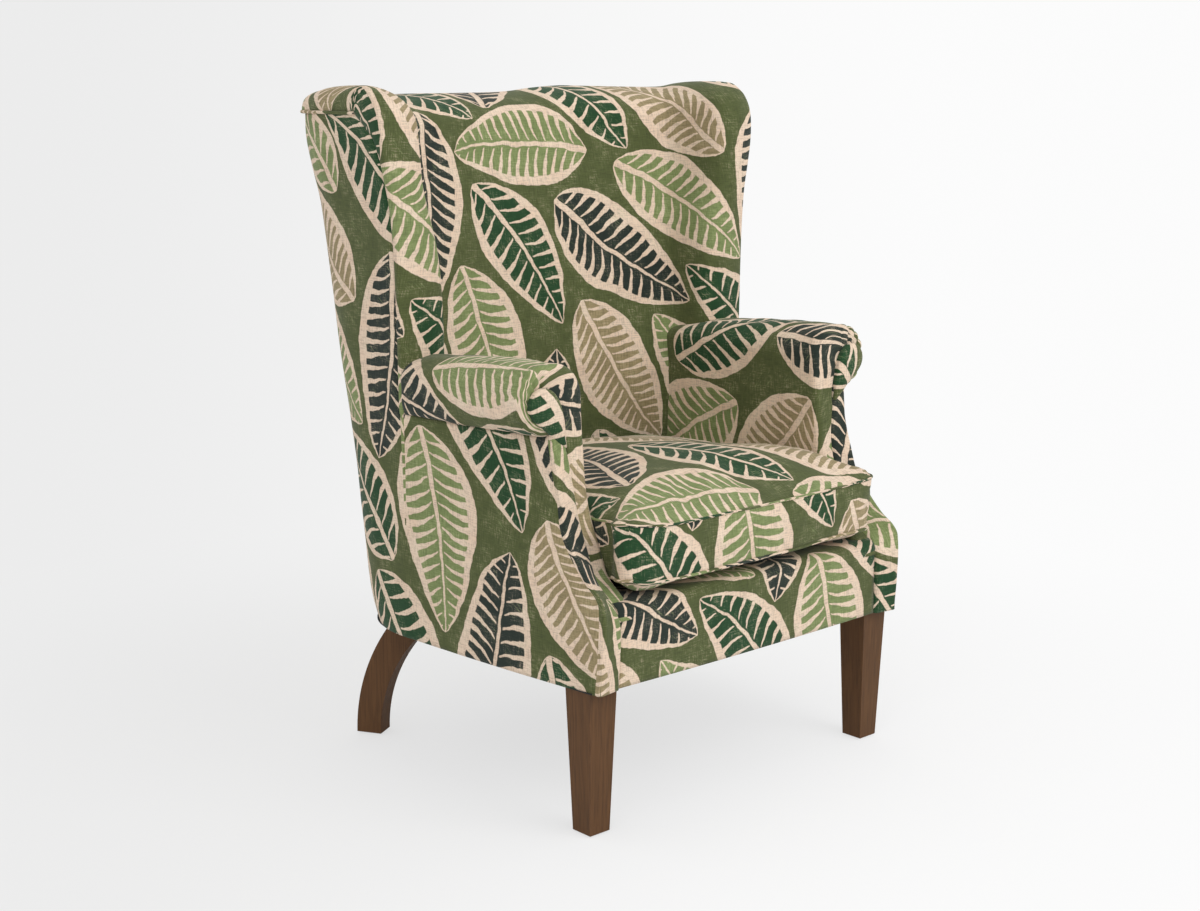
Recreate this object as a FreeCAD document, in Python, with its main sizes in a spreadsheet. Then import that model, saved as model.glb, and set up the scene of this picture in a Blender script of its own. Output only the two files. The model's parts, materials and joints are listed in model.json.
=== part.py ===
import FreeCAD
import Part
import Sketcher
import math
import os

V = FreeCAD.Vector
doc = FreeCAD.newDocument("WingChair")
sheet = doc.addObject("Spreadsheet::Sheet", "Sizes")

# Driving dimensions in millimetres. Depths are measured from the front face of the front feet,
# half widths from the middle of the chair, heights from the floor.
driving = [
    ("frontToOrigin", 304.1, "front feet to the middle of the whole depth, where the origin is"),
    ("hemHeight", 212, "floor to the lower edge of the covers"),
    ("glideThick", 2.5, "nylon glide under each foot"),
    ("glideRadius", 11, "radius of a glide"),
    ("footSize", 36, "square foot of a front leg"),
    ("legTopSize", 50, "square top of a front leg"),
    ("footSet", 14, "how far the feet stand in from the hem's corners"),
    ("backFootSet", 28, "how far the back feet stand in from the outside of the front ones"),
    ("rearFootOut", 16, "how far the middle of the back feet stands out behind the hem"),
    ("backFootLength", 41, "length of a back foot along its kick"),
    ("backLegThick", 34, "thickness of a back leg"),
    ("legSplayAngle", 30, "degrees that a back leg is turned outwards"),
    ("sabreInnerMore", 28, "radius of the front edge of a back leg, beyond the leg's height"),
    ("sabreOuterMore", 93, "radius of the rear edge of a back leg, beyond the leg's height"),
    ("boltRadius", 4, "hanger bolt"),
    ("boltDepth", 24, "length of bolt in the leg, and again in the frame"),
    ("gap", 0.3, "clearance between neighbouring pieces"),
    ("dustThick", 1.4, "dust cover cloth"),
    ("railHeight", 75, "height of the seat rails"),
    ("railThick", 26, "thickness of the rails and frame boards"),
    ("railSetBack", 6, "how far rails stand behind the front faces of the back posts"),
    ("coverSlack", 1, "how far the frame stays behind the outside covers"),
    ("blockLeg", 62, "length of a front corner block along each rail"),
    ("blockTall", 56, "height of the corner blocks"),
    ("blockWall", 18, "wood beside a back leg's bolt"),
    ("blockAhead", 46, "wood in front of a back leg's bolt"),
    ("coverThick", 3, "outside covers with their lining"),
    ("seatHalf", 238, "half width between the arms"),
    ("armThick", 30, "padding on the inside of an arm"),
    ("hemSpread", 14, "how much wider the front corner is at the hem than under the scroll"),
    ("armPostWidth", 35, "width of an arm post with its cover, under the scroll"),
    ("sideSpread", 24, "how much wider the hem is beside the wing than in front"),
    ("sideLean", 9, "how far the outside leans out from the hem to the arm"),
    ("wingFlare", 24, "how far the wings flare out"),
    ("cornerRadius", 132, "plan radius of the rear corners"),
    ("sideBend", 27, "straight stretch of the hem in front of a rear corner"),
    ("armAbove", 238, "arm frame above the seat deck"),
    ("scrollSag", 11, "underside of the scroll below the arm frame"),
    ("wingStraight", 210, "arm frame to the start of the flare"),
    ("flareTall", 175, "height of the flare"),
    ("capTall", 27, "widest part of the wings to the seam round their top"),
    ("backCrown", 26, "seam round the top to the top of the back"),
    ("earCrown", 41, "seam round the top to the top of the wings"),
    ("rearHem", 534, "depth of the rear at the hem"),
    ("rakeDeck", 15, "how far the rear leans back from the hem to the seat deck"),
    ("rakeArm", 29, "how far it leans back from there to the arm"),
    ("rakeWing", 35, "how far it leans back from there to the flare"),
    ("rakeFlare", 20, "how far it leans back over the flare"),
    ("wingLength", 223, "length of a wing from front to rear at arm height"),
    ("wingPad", 84, "thickness of the wing's front roll"),
    ("backThick", 124, "thickness of the whole back at the seat deck"),
    ("lumbarPad", 8, "how much thicker the back is at arm height"),
    ("topThin", 12, "how much thinner the back is at the ears"),
    ("topRoll", 46, "depth of the rounding of the back's top edge, in front"),
    ("topTuck", 30, "depth of the rounding of the back's top edge, behind"),
    ("backHollow", 30, "how far the inside back comes forward at its sides"),
    ("frameSetLow", 52, "rear hem to the front face of the back frame at the bottom"),
    ("frameSetHigh", 69, "rear to the front face of the back frame at the top"),
    ("postDepth", 34, "depth of a back post"),
    ("postSet", 13, "how far the back posts stand in from the arms"),
    ("postWidth", 40, "width of a back post"),
    ("topRailTall", 36, "height of the top rail"),
    ("lumbarLow", 8, "lower edge of the lumbar rail above the deck"),
    ("lumbarTall", 42, "height of the lumbar rail"),
    ("lipFront", 85, "arm front: depth at the top of the scroll"),
    ("waistFront", 82, "arm front: depth under the scroll"),
    ("midFront", 63, "arm front: depth half way down"),
    ("shelfFront", 23, "arm front: depth above the knee"),
    ("waistSet", 15, "arm front: waist below the arm frame"),
    ("midAbove", 124, "arm front: its middle above the deck"),
    ("shelfAbove", 46, "arm front: its foot above the deck"),
    ("kneeBelow", 20, "arm front: knee below the deck"),
    ("kneeOut", 27, "arm front: how far the knee stands out"),
    ("hemOut", 20, "how far the hem stands out in front"),
    ("scrollTall", 87, "top of the scroll above the arm frame"),
    ("scrollDrop", 20, "how much lower the arm is at the wing"),
    ("scrollOut", 50, "how far the scroll stands out over the waist"),
    ("scrollMid", 32, "widest part of the scroll above the arm frame"),
    ("discShift", 2, "middle of a facing disc outside the waist"),
    ("discAbove", 38, "middle of a facing disc above the arm frame"),
    ("discRadius", 36, "radius of a facing disc"),
    ("facingThick", 6, "arm facing board with its cover"),
    ("scrollPad", 23, "padding outside the arm board"),
    ("armBoardThick", 22, "thickness of an arm board"),
    ("armBoardSet", 14, "how far the arm board starts behind the front of the arm"),
    ("armBoardEnd", 28, "width of the arm board's end on the back post"),
    ("armBoardWing", 70, "how far the arm board runs straight behind the front of the wing"),
    ("scrollCrest", 40, "crest of the scroll, measured in from the arm board's edge"),
    ("scrollShoulder", 27, "how far the scroll falls from its crest to its inner shoulder"),
    ("scrollHang", 27, "how far the scroll's lower edge turns in under it"),
    ("armPostDepth", 19, "front of the scroll to the rear face of the arm post"),
    ("borderThick", 21, "padding in front of the front rail"),
    ("seatBorder", 110, "height of the front border"),
    ("deckThick", 1.5, "deck cloth"),
    ("borderLip", 24, "radius of the front border's upper edge"),
    ("springWire", 4, "spring wire diameter"),
    ("springPitch", 44, "pitch of the zigzag"),
    ("springSwing", 42, "width of the zigzag"),
    ("springSpacing", 88, "distance between springs"),
    ("springCount", 5, "number of springs"),
    ("clipWidth", 18, "spring clip"),
    ("clipThick", 1.8, "spring clip"),
    ("clipLength", 14, "spring clip"),
    ("webWidth", 50, "width of a webbing strap"),
    ("webThick", 1.5, "webbing"),
    ("webSpacing", 120, "distance between the upright straps"),
    ("webRows", 4, "number of level straps"),
    ("webEdge", 40, "how far the level straps start from the ends of the upright ones"),
    ("wingPostSet", 6, "how far the wing posts stand in from the outside"),
    ("wingPostDepth", 26, "depth of a wing post"),
    ("wingRoll", 31, "padding in front of a wing post"),
    ("wingEdge", 12, "how far the wing's outside seam lies behind its front"),
    ("seamIn", 15, "how far the seams of the outside back lie in from the rear corners"),
    ("cushionFront", 27, "how far the cushion stands out in front of the feet"),
    ("cushionTuck", 3, "how far the cushion's rear corners tuck into the back"),
    ("cushionEar", 9, "how far the cushion's front corners spread before the arms"),
    ("cushionLip", 19, "lower cushion seam above the deck"),
    ("cushionBoxing", 87, "width of the band between the cushion's seams"),
    ("crownTall", 59, "upper seam to the crown"),
    ("cushionDraw", 5, "how far each side is drawn in between its corners"),
    ("cushionCorner", 24, "corner radius of the cushion"),
    ("cushionNeck", 28, "length over which its front corners narrow to pass between the arms"),
    ("crownIn", 190, "how far the cushion's crown is drawn in from its seam"),
    ("cushionPuff", 4, "how far the boxing between the seams is drawn in"),
    ("clothThick", 1.2, "cushion cover"),
]
# Sizes that follow from them
following = [
    ("boltMid", "hemHeight + dustThick + 2 * gap - glideThick - boltDepth / 2",
     "height over the glides of the middle of a bolt's lower half"),
    ("sabreInner", "hemHeight + sabreInnerMore", "radius of the front edge of a back leg"),
    ("sabreOuter", "hemHeight + sabreOuterMore", "radius of the rear edge of a back leg"),
    ("boltSet", "(sabreInner + sabreOuter - sqrt(sabreInner ^ 2 - boltMid ^ 2)"
     " - sqrt(sabreOuter ^ 2 - boltMid ^ 2)) / 2",
     "how far forward of its foot the back leg's bolt stands, in the middle of the leg"),
    ("bendY", "rearHem - cornerRadius - sideBend", "depth where the outside stops widening"),
    ("footOuter", "hemHalfFront - footSet", "half width over the front feet"),
    ("backFootX", "footOuter - backFootSet", "half distance between the back feet, at their middle"),
    ("backFootY", "rearHem + rearFootOut", "depth of the back feet, at their middle"),
    ("waistHalf", "seatHalf + armThick + armPostWidth", "half width under the scroll, front"),
    ("hemHalfFront", "waistHalf + hemSpread", "half width at the hem, front corner"),
    ("sideHalfHem", "hemHalfFront + sideSpread", "half width at the hem, beside the wing"),
    ("sideHalfArm", "sideHalfHem + sideLean", "half width at arm height, beside the wing"),
    ("sideHalfFlare", "sideHalfArm + wingFlare", "half width at the ears of the wings"),
    ("deckZ", "hemHeight + seatBorder", "height of the seat deck"),
    ("armZ", "deckZ + armAbove", "height of the arm frame"),
    ("scrollUnder", "armZ - scrollSag", "height of the underside of the scroll"),
    ("flareStart", "armZ + wingStraight", "height where the wings start to flare"),
    ("flareZ", "flareStart + flareTall", "height where the wings are widest"),
    ("capZ", "flareZ + capTall", "height of the seam round the top of the wings"),
    ("backTop", "capZ + backCrown", "height of the back at the middle"),
    ("earTop", "capZ + earCrown", "height of the wings"),
    ("rearDeck", "rearHem + rakeDeck", "depth of the rear at seat height"),
    ("rearArm", "rearDeck + rakeArm", "depth of the rear at arm height"),
    ("rearFlareStart", "rearArm + rakeWing", "depth of the rear where the flare starts"),
    ("rearFlare", "rearFlareStart + rakeFlare", "depth of the rear at the ears"),
    ("wingFront", "rearArm - wingLength", "depth of the front of the wings"),
    ("backInDeck", "rearDeck - backThick", "depth of the inside back at seat height"),
    ("backInArm", "rearArm - backThick - lumbarPad", "depth of the inside back at arm height"),
    ("backInFlareStart", "rearFlareStart - backThick", "depth of the inside back where the flare starts"),
    ("backInFlare", "rearFlare - backThick + topThin", "depth of the inside back at the ears"),
    ("frameLow", "rearHem - frameSetLow", "depth of the back frame's front face at the bottom"),
    ("frameHigh", "rearFlare - frameSetHigh", "depth of the back frame's front face at the top"),
    ("postInner", "seatHalf - postSet", "half distance between the back posts"),
    ("waistZ", "armZ - waistSet", "arm front: height under the scroll"),
    ("midZ", "deckZ + midAbove", "arm front: height half way down"),
    ("shelfZ", "deckZ + shelfAbove", "arm front: height above the knee"),
    ("kneeZ", "deckZ - kneeBelow", "arm front: height of the knee"),
    ("scrollTop", "armZ + scrollTall", "height of the scroll at the front"),
    ("scrollHalf", "waistHalf + scrollOut", "half width over the scrolls"),
    ("scrollZ", "armZ + scrollMid", "height of the widest part of the scroll"),
    ("discX", "waistHalf + discShift", "half distance between the facing discs"),
    ("discZ", "armZ + discAbove", "height of a facing disc"),
    ("armBoardHalf", "scrollHalf - scrollPad", "half width over the arm boards"),
    ("postBack", "lipFront + armPostDepth", "depth of the rear face of an arm post"),
    ("wingPostOuter", "sideHalfArm - wingPostSet", "half width over the wing posts"),
    ("cushionBack", "backInDeck - backHollow + cushionTuck", "depth of the cushion's rear corners"),
    ("cushionSeamLow", "deckZ + cushionLip", "height of the lower cushion seam"),
    ("cushionSeamHigh", "cushionSeamLow + cushionBoxing", "height of the upper cushion seam"),
    ("cushionCrown", "cushionSeamHigh + crownTall", "height of the middle of the cushion"),
]
rows = driving + [(alias, "=" + formula, note) for alias, formula, note in following]
for row, (alias, value, note) in enumerate(rows, start=1):
    sheet.set("A%d" % row, alias)
    sheet.setAlias("B%d" % row, alias)
    sheet.set("C%d" % row, note)
for row, (alias, value, note) in enumerate(rows, start=1):
    sheet.set("B%d" % row, str(value))
doc.recompute()
aliases = [alias for alias, value, note in rows]


def size(alias):
    return float(sheet.get(alias))


def bound(text):
    """Turn an expression on plain aliases into one on the sheet's cells."""
    words = []
    word = ""
    for mark in text + " ":
        if mark.isalnum():
            word += mark
            continue
        words.append("Sizes." + word if word in aliases else word)
        words.append(mark)
        word = ""
    return "".join(words).strip()


gap = size("gap")
hem = size("hemHeight")
frameZ = hem + size("dustThick") + 2 * gap
railTop = frameZ + size("railHeight")
frameTop = size("capZ") - gap
shift = V(0, -size("frontToOrigin"), 0)
far = 500
margin = 20
subparts = []


def keep(obj, label):
    obj.Label = label
    subparts.append(obj)
    return obj


def solidPiece(label, shape):
    """A sub-part whose shape is built in chair depths and then set about the origin."""
    piece = doc.addObject("Part::Feature", label)
    piece.Shape = shape
    piece.Placement = FreeCAD.Placement(shift, FreeCAD.Rotation())
    return keep(piece, label)


def between(height, stations):
    """Straight-line value at a height from (height, value) stations."""
    for (z0, v0), (z1, v1) in zip(stations, stations[1:]):
        if height <= z1:
            break
    return v0 + (v1 - v0) * (height - z0) / (z1 - z0)


heights = [hem, size("deckZ"), size("armZ"), size("flareStart"), size("flareZ")]
rears = [size(n) for n in ("rearHem", "rearDeck", "rearArm", "rearFlareStart", "rearFlare")]
insides = [size(n) for n in ("backInDeck", "backInArm", "backInFlareStart", "backInFlare")]


def rearY(height):
    return between(height, list(zip(heights, rears)))


def insideY(height):
    return between(height, list(zip(heights[1:], insides)))


def sideHalf(height):
    return between(height, [(hem, size("sideHalfHem")), (size("armZ"), size("sideHalfArm")),
                            (size("flareStart"), size("sideHalfArm")),
                            (size("flareZ"), size("sideHalfFlare")),
                            (size("earTop"), size("sideHalfFlare") - 0.5 * size("earCrown")
                             - 0.5 * size("capTall"))])


def frontHalf(height):
    return between(height, [(hem, size("hemHalfFront")), (size("scrollUnder"), size("waistHalf"))])


def frameY(height):
    return between(height, [(hem, size("frameLow")), (size("capZ"), size("frameHigh"))])


def wire(points, height=None, depth=None, across=None):
    """Closed wire of lines and arcs; a pair (mid, end) is an arc, a point ends a line."""
    def place(pair):
        if height is not None:
            return V(pair[0], pair[1], height)
        if depth is not None:
            return V(pair[0], depth, pair[1])
        return V(across, pair[0], pair[1])
    edges = []
    last = place(points[0])
    for item in points[1:] + [points[0]]:
        if isinstance(item[0], tuple):
            end = place(item[1])
            edges.append(Part.Arc(last, place(item[0]), end).toShape())
        else:
            end = place(item)
            if end.distanceToPoint(last) < 1e-6:
                continue
            edges.append(Part.makeLine(last, end))
        last = end
    return Part.Wire(edges)


def prism(points, start, length, height=False, depth=False):
    """Straight solid on an outline: along Z, along Y or along X."""
    if height:
        return Part.Face(wire(points, height=start)).extrude(V(0, 0, length))
    if depth:
        return Part.Face(wire(points, depth=start)).extrude(V(0, length, 0))
    return Part.Face(wire(points, across=start)).extrude(V(length, 0, 0))


def loft(wires):
    return Part.makeLoft(wires, True, True)


def mirrored(shape):
    """The same piece on the other side of the chair, with its faces still outwards."""
    other = shape.mirror(V(0, 0, 0), V(1, 0, 0))
    if other.Volume < 0:
        other.reverse()
    return other


def pair(label, rightShape):
    solidPiece(label + "_left", mirrored(rightShape))
    solidPiece(label + "_right", rightShape)


# Bodies with sketches, bound to the sheet

def pin(sketch, geometry, point, xText, yText):
    """Hold a sketch point at a place given by two expressions."""
    spot = sketch.getPoint(geometry, point)
    for kind, text, value in (("DistanceX", xText, spot.x), ("DistanceY", yText, spot.y)):
        number = sketch.addConstraint(Sketcher.Constraint(kind, -1, 1, geometry, point, value))
        sketch.setExpression("Constraints[%d]" % number, bound(text))


def sketchOn(body, role, offset="0"):
    sketch = body.newObject("Sketcher::SketchObject", body.Name + "Sketch")
    plane = [f for f in body.Origin.OriginFeatures if f.Role == role][0]
    sketch.AttachmentSupport = [(plane, "")]
    sketch.MapMode = "FlatFace"
    sketch.setExpression("AttachmentOffset.Base.z", bound(offset))
    return sketch


def polygon(sketch, points):
    """Closed outline of lines whose corners are pinned at expressions."""
    count = len(points)
    guess = [V(math.cos(2 * math.pi * i / count), math.sin(2 * math.pi * i / count), 0)
             for i in range(count)]
    for i in range(count):
        sketch.addGeometry(Part.LineSegment(guess[i], guess[(i + 1) % count]), False)
    for i in range(count):
        sketch.addConstraint(Sketcher.Constraint("Coincident", i, 2, (i + 1) % count, 1))
    for i, (xText, yText) in enumerate(points):
        pin(sketch, i, 1, xText, yText)


def board(label, role, points, start, length):
    """A sawn board: an outline in one plane, padded by its thickness."""
    body = doc.addObject("PartDesign::Body", label)
    sketch = sketchOn(body, role, start)
    polygon(sketch, points)
    pad = body.newObject("PartDesign::Pad", label + "Pad")
    pad.Profile = sketch
    pad.setExpression("Length", bound(length))
    sketch.Visibility = False
    body.setExpression("Placement.Base.y", bound("-frontToOrigin"))
    return keep(body, label)


sides = (("left", "-1"), ("right", "1"))
frameZText = "hemHeight + dustThick + 2 * gap"


# Legs, glides and bolts

def square(sketch, alias):
    polygon(sketch, [("-%s / 2" % alias, "-%s / 2" % alias), ("%s / 2" % alias, "-%s / 2" % alias),
                     ("%s / 2" % alias, "%s / 2" % alias), ("-%s / 2" % alias, "%s / 2" % alias)])


def boltHole(body, label, depthText):
    """Blind hole down from the leg's top for its hanger bolt."""
    sketch = sketchOn(body, "XY_Plane", frameZText)
    sketch.addGeometry(Part.Circle(V(0, 0, 0), V(0, 0, 1), 4), False)
    pin(sketch, 0, 3, "0", depthText)
    radius = sketch.addConstraint(Sketcher.Constraint("Radius", 0, 4.0))
    sketch.setExpression("Constraints[%d]" % radius, bound("boltRadius + gap"))
    pocket = body.newObject("PartDesign::Pocket", label + "Hole")
    pocket.Profile = sketch
    pocket.setExpression("Length", bound("boltDepth + gap"))
    sketch.Visibility = False


for side, sign in sides:
    label = "front_leg_" + side
    leg = doc.addObject("PartDesign::Body", label)
    footSketch = sketchOn(leg, "XY_Plane", "glideThick")
    square(footSketch, "footSize")
    topSketch = sketchOn(leg, "XY_Plane", frameZText)
    square(topSketch, "legTopSize")
    taper = leg.newObject("PartDesign::AdditiveLoft", label + "Taper")
    taper.Profile = footSketch
    taper.Sections = [topSketch]
    boltHole(leg, label, "0")
    leg.setExpression("Placement.Base.x", bound(sign + " * (footOuter - footSize / 2)"))
    leg.setExpression("Placement.Base.y", bound("footSize / 2 - frontToOrigin"))
    keep(leg, label)

for side, sign in sides:
    label = "back_leg_" + side
    leg = doc.addObject("PartDesign::Body", label)
    sketch = sketchOn(leg, "YZ_Plane")
    length = size("backFootLength")
    rise = frameZ - size("glideThick")
    edges = []
    for start, radius in ((-length / 2, size("sabreInner")), (length / 2, size("sabreOuter"))):
        circle = Part.Circle(V(start - radius, size("glideThick"), 0), V(0, 0, 1), radius)
        edges.append(Part.ArcOfCircle(circle, 0, math.asin(rise / radius)))
    inner, outer = edges
    sketch.addGeometry([inner, Part.LineSegment(inner.EndPoint, outer.EndPoint), outer,
                        Part.LineSegment(outer.StartPoint, inner.StartPoint)], False)
    for first, firstEnd, second, secondEnd in ((0, 2, 1, 1), (1, 2, 2, 2), (2, 1, 3, 1), (3, 2, 0, 1)):
        sketch.addConstraint(Sketcher.Constraint("Coincident", first, firstEnd, second, secondEnd))
    pin(sketch, 0, 3, "-backFootLength / 2 - sabreInner", "glideThick")
    pin(sketch, 0, 1, "-backFootLength / 2", "glideThick")
    pin(sketch, 2, 3, "backFootLength / 2 - sabreOuter", "glideThick")
    pin(sketch, 2, 1, "backFootLength / 2", "glideThick")
    for arc in (0, 2):
        top = sketch.getPoint(arc, 2).y
        number = sketch.addConstraint(Sketcher.Constraint("DistanceY", -1, 1, arc, 2, top))
        sketch.setExpression("Constraints[%d]" % number, bound(frameZText))
    pad = leg.newObject("PartDesign::Pad", label + "Pad")
    pad.Profile = sketch
    pad.Midplane = True
    pad.setExpression("Length", bound("backLegThick"))
    boltHole(leg, label, "-boltSet")
    leg.Placement = FreeCAD.Placement(V(0, 0, 0), FreeCAD.Rotation(V(0, 0, -float(sign)), 10))
    leg.setExpression("Placement.Base.x", bound(sign + " * backFootX"))
    leg.setExpression("Placement.Base.y", bound("backFootY - frontToOrigin"))
    leg.setExpression("Placement.Rotation.Angle", bound("legSplayAngle"))
    keep(leg, label)

splay = math.radians(size("legSplayAngle"))
frontBolt = V(size("footOuter") - size("footSize") / 2, size("footSize") / 2, 0)
backFoot = V(size("backFootX"), size("backFootY"), 0)
backBolt = backFoot - V(math.sin(splay), math.cos(splay), 0) * size("boltSet")


def fourfold(shapes):
    """The pieces on the right and their mirror images, as one group."""
    return Part.makeCompound(shapes + [mirrored(shape) for shape in shapes])


solidPiece("foot_glides", fourfold([
    Part.makeCylinder(size("glideRadius"), size("glideThick"), foot)
    for foot in (frontBolt, backFoot)]))
solidPiece("leg_bolts", fourfold([
    Part.makeCylinder(size("boltRadius"), 2 * size("boltDepth"),
                      foot + V(0, 0, frameZ - size("boltDepth"))) for foot in (frontBolt, backBolt)]))


def boltRoom(foot):
    """What a bolt's hole takes out of the frame above the leg."""
    return Part.makeCylinder(size("boltRadius") + gap, size("boltDepth") + gap, foot + V(0, 0, frameZ))


# Seat frame

armIn = "(seatHalf + armThick)"
railBack = "(borderThick - hemOut + gap + railThick)"
board("front_rail", "XY_Plane", [
    ("-%s + gap" % armIn, "borderThick - hemOut + gap"), ("%s - gap" % armIn, "borderThick - hemOut + gap"),
    ("%s - gap" % armIn, railBack), ("-%s + gap" % armIn, railBack)], frameZText, "railHeight")
backRailFront = "frameLow + railSetBack"
backRailRear = backRailFront + " + railThick"
board("back_rail", "XY_Plane", [
    ("gap - postInner", backRailFront), ("postInner - gap", backRailFront),
    ("postInner - gap", backRailRear), ("gap - postInner", backRailRear)], frameZText, "railHeight")
postOuter = "(postInner + postWidth)"
sideStart = "(hemHalfFront + (sideHalfHem - hemHalfFront) * (postBack + hemOut) / (bendY + hemOut))"
sideIn = "(coverThick + 2 * gap)"
sideOut = "(sideHalfHem - coverSlack - %s)" % sideIn
armRake = "(frameLow + (frameHigh - frameLow) * (armZ - hemHeight) / (capZ - hemHeight))"
for side, sign in sides:
    board("side_rail_" + side, "XY_Plane", [(sign + " * (%s)" % x, y) for x, y in (
        (sideStart + " - railThick - " + sideIn, "postBack + gap"),
        (sideStart + " - " + sideIn, "postBack + gap"),
        (sideOut, "bendY"), (sideOut, "rearHem - cornerRadius"),
        (postOuter + " + gap", "frameLow + postDepth - railSetBack"), (postOuter + " + gap", backRailFront),
        (sideOut + " - railThick", "rearHem - cornerRadius - railSetBack"),
        (sideOut + " - railThick", "bendY - sideBend"))], frameZText, "railHeight")
    board("back_post_" + side, "YZ_Plane", [
        ("frameLow", frameZText), ("frameLow + postDepth", frameZText),
        ("frameHigh + postDepth", "capZ - gap"), ("frameHigh", "capZ - gap")],
        "postInner" if side == "right" else "-" + postOuter, "postWidth")
    board("arm_rail_" + side, "XY_Plane", [(sign + " * (%s)" % x, y) for x, y in (
        (armIn, "waistFront + armBoardSet"), ("armBoardHalf", "waistFront + armBoardSet"),
        ("armBoardHalf", "wingFront + armBoardWing"),
        (postOuter + " + gap", armRake + " + railSetBack + armBoardEnd"),
        (postOuter + " + gap", armRake + " + railSetBack"), (armIn, "frameLow"))],
        "armZ + gap", "armBoardThick")
    board("wing_post_" + side, "XY_Plane", [(sign + " * (%s)" % x, y) for x, y in (
        ("wingPostOuter - railThick", "wingFront + wingRoll"), ("wingPostOuter", "wingFront + wingRoll"),
        ("wingPostOuter", "wingFront + wingRoll + wingPostDepth"),
        ("wingPostOuter - railThick", "wingFront + wingRoll + wingPostDepth"))],
        "armZ + 2 * gap + armBoardThick", "capZ - armZ - armBoardThick - 3 * gap")
    wingRear = "wingFront + wingRoll + wingPostDepth + gap"
    board("wing_rail_" + side, "XY_Plane", [(sign + " * (%s)" % x, y) for x, y in (
        ("wingPostOuter", wingRear), ("wingPostOuter - railThick", wingRear),
        (postOuter + " + gap", "frameHigh + railSetBack"),
        (postOuter + " + gap", "frameHigh + postDepth - railSetBack"),
        ("wingPostOuter", "rearFlare - cornerRadius"))], "capZ - gap - railThick", "railThick")
for label, lowText, highText in (
        ("top_rail", "(capZ - gap - topRailTall)", "(capZ - gap)"),
        ("lumbar_rail", "(deckZ + lumbarLow)", "(deckZ + lumbarLow + lumbarTall)")):
    rake = "frameLow + (frameHigh - frameLow) * (%s - hemHeight) / (capZ - hemHeight)"
    board(label, "YZ_Plane", [
        (rake % lowText, lowText), (rake % lowText + " + railThick", lowText),
        (rake % highText + " + railThick", highText), (rake % highText, highText)],
        "gap - postInner", "2 * (postInner - gap)")

railRear = size("borderThick") - size("hemOut") + gap + size("railThick")
armFrameIn = size("seatHalf") + size("armThick")
blockIn = armFrameIn - gap
blockTall = size("blockTall")
frontBlock = prism([(blockIn, railRear + gap), (blockIn - size("blockLeg"), railRear + gap),
                    (blockIn, railRear + gap + size("blockLeg"))], frameZ, blockTall, height=True)
bend = V(size("sideHalfHem") - size("coverSlack") - size("coverThick") - 2 * gap - size("railThick"),
         size("rearHem") - size("cornerRadius") - size("railSetBack"), 0)
railEnd = V(size("postInner") + size("postWidth") + gap, size("frameLow") + size("railSetBack"), 0)
slope = (railEnd.x - bend.x) / (railEnd.y - bend.y)
blockFront = backBolt.y - size("blockAhead")
blockRear = size("frameLow") - gap
rearBlock = prism([(backBolt.x - size("blockWall"), blockRear), (backBolt.x - size("blockWall"), backBolt.y),
                   (backBolt.x, blockFront), (bend.x + slope * (blockFront - bend.y) - 2 * gap, blockFront),
                   (bend.x + slope * (blockRear - bend.y) - 2 * gap, blockRear)],
                  frameZ, blockTall, height=True).cut(boltRoom(backBolt))
solidPiece("corner_blocks", fourfold([frontBlock, rearBlock]))


# The arms' front curve, shared by the posts, the facings, the padding and the outside covers

def frontCurve(back):
    """Everything in front of the arm's front curve, moved back by a thickness."""
    low = hem - margin
    high = size("scrollTop") + margin
    points = [V(0, -size("hemOut"), hem), V(0, -size("hemOut") - 1, 0.5 * (hem + size("kneeZ"))),
              V(0, -size("kneeOut"), size("kneeZ")), V(0, size("shelfFront"), size("shelfZ")),
              V(0, size("midFront"), size("midZ")), V(0, size("waistFront"), size("waistZ")),
              V(0, size("lipFront"), size("scrollTop"))]
    curve = Part.BSplineCurve()
    curve.interpolate(points)
    corners = [V(0, -size("hemOut"), low), V(0, -2 * far, low), V(0, -2 * far, high),
               V(0, size("lipFront"), high)]
    edges = [Part.makeLine(points[0], corners[0])]
    edges += [Part.makeLine(a, b) for a, b in zip(corners, corners[1:])]
    edges += [Part.makeLine(corners[-1], points[-1]), curve.toShape()]
    outline = Part.Wire(Part.__sortEdges__(edges))
    outline.translate(V(-far, back, 0))
    return Part.Face(outline).extrude(V(2 * far, 0, 0))


armFront = frontCurve(0)
facingBack = frontCurve(size("facingThick"))
postFront = frontCurve(size("facingThick") + gap)
discX, discZ, disc = size("discX"), size("discZ"), size("discRadius")


def facingOutline(grow):
    """Front view of an arm facing: a band that ends in a disc on the scroll."""
    reach = disc + grow
    diagonal = reach * math.sqrt(0.5)
    return [(discX - reach, hem + gap - grow), (discX - reach, discZ),
            ((discX - diagonal, discZ + diagonal), (discX, discZ + reach)),
            ((discX + diagonal, discZ + diagonal), (discX + reach, discZ)),
            ((discX + diagonal, discZ - diagonal), (discX + 2, discZ - reach)),
            (size("waistHalf") + grow, size("scrollUnder") - size("facingThick")),
            (size("hemHalfFront") + grow, hem + gap - grow)]


facing = prism(facingOutline(0), -far, 2 * far, depth=True).cut(armFront).common(facingBack)
pair("arm_facing", facing)

postOutline = [(armFrameIn, frameZ), (armFrameIn, size("armZ")),
               (size("waistHalf") - size("coverThick") - gap, size("armZ")),
               (size("waistHalf") - size("coverThick") - gap, size("scrollUnder")),
               (size("hemHalfFront") - size("coverThick") - 2 * gap, frameZ)]
post = prism(postOutline, -far, size("postBack") + far, depth=True).cut(postFront)
pair("arm_post", post.cut(boltRoom(frontBolt)))

# Arm padding: the inside of the arm and the scroll over the arm board

armBottom = railTop
boardTop = size("armZ") + size("armBoardThick") + 2 * gap


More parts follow.
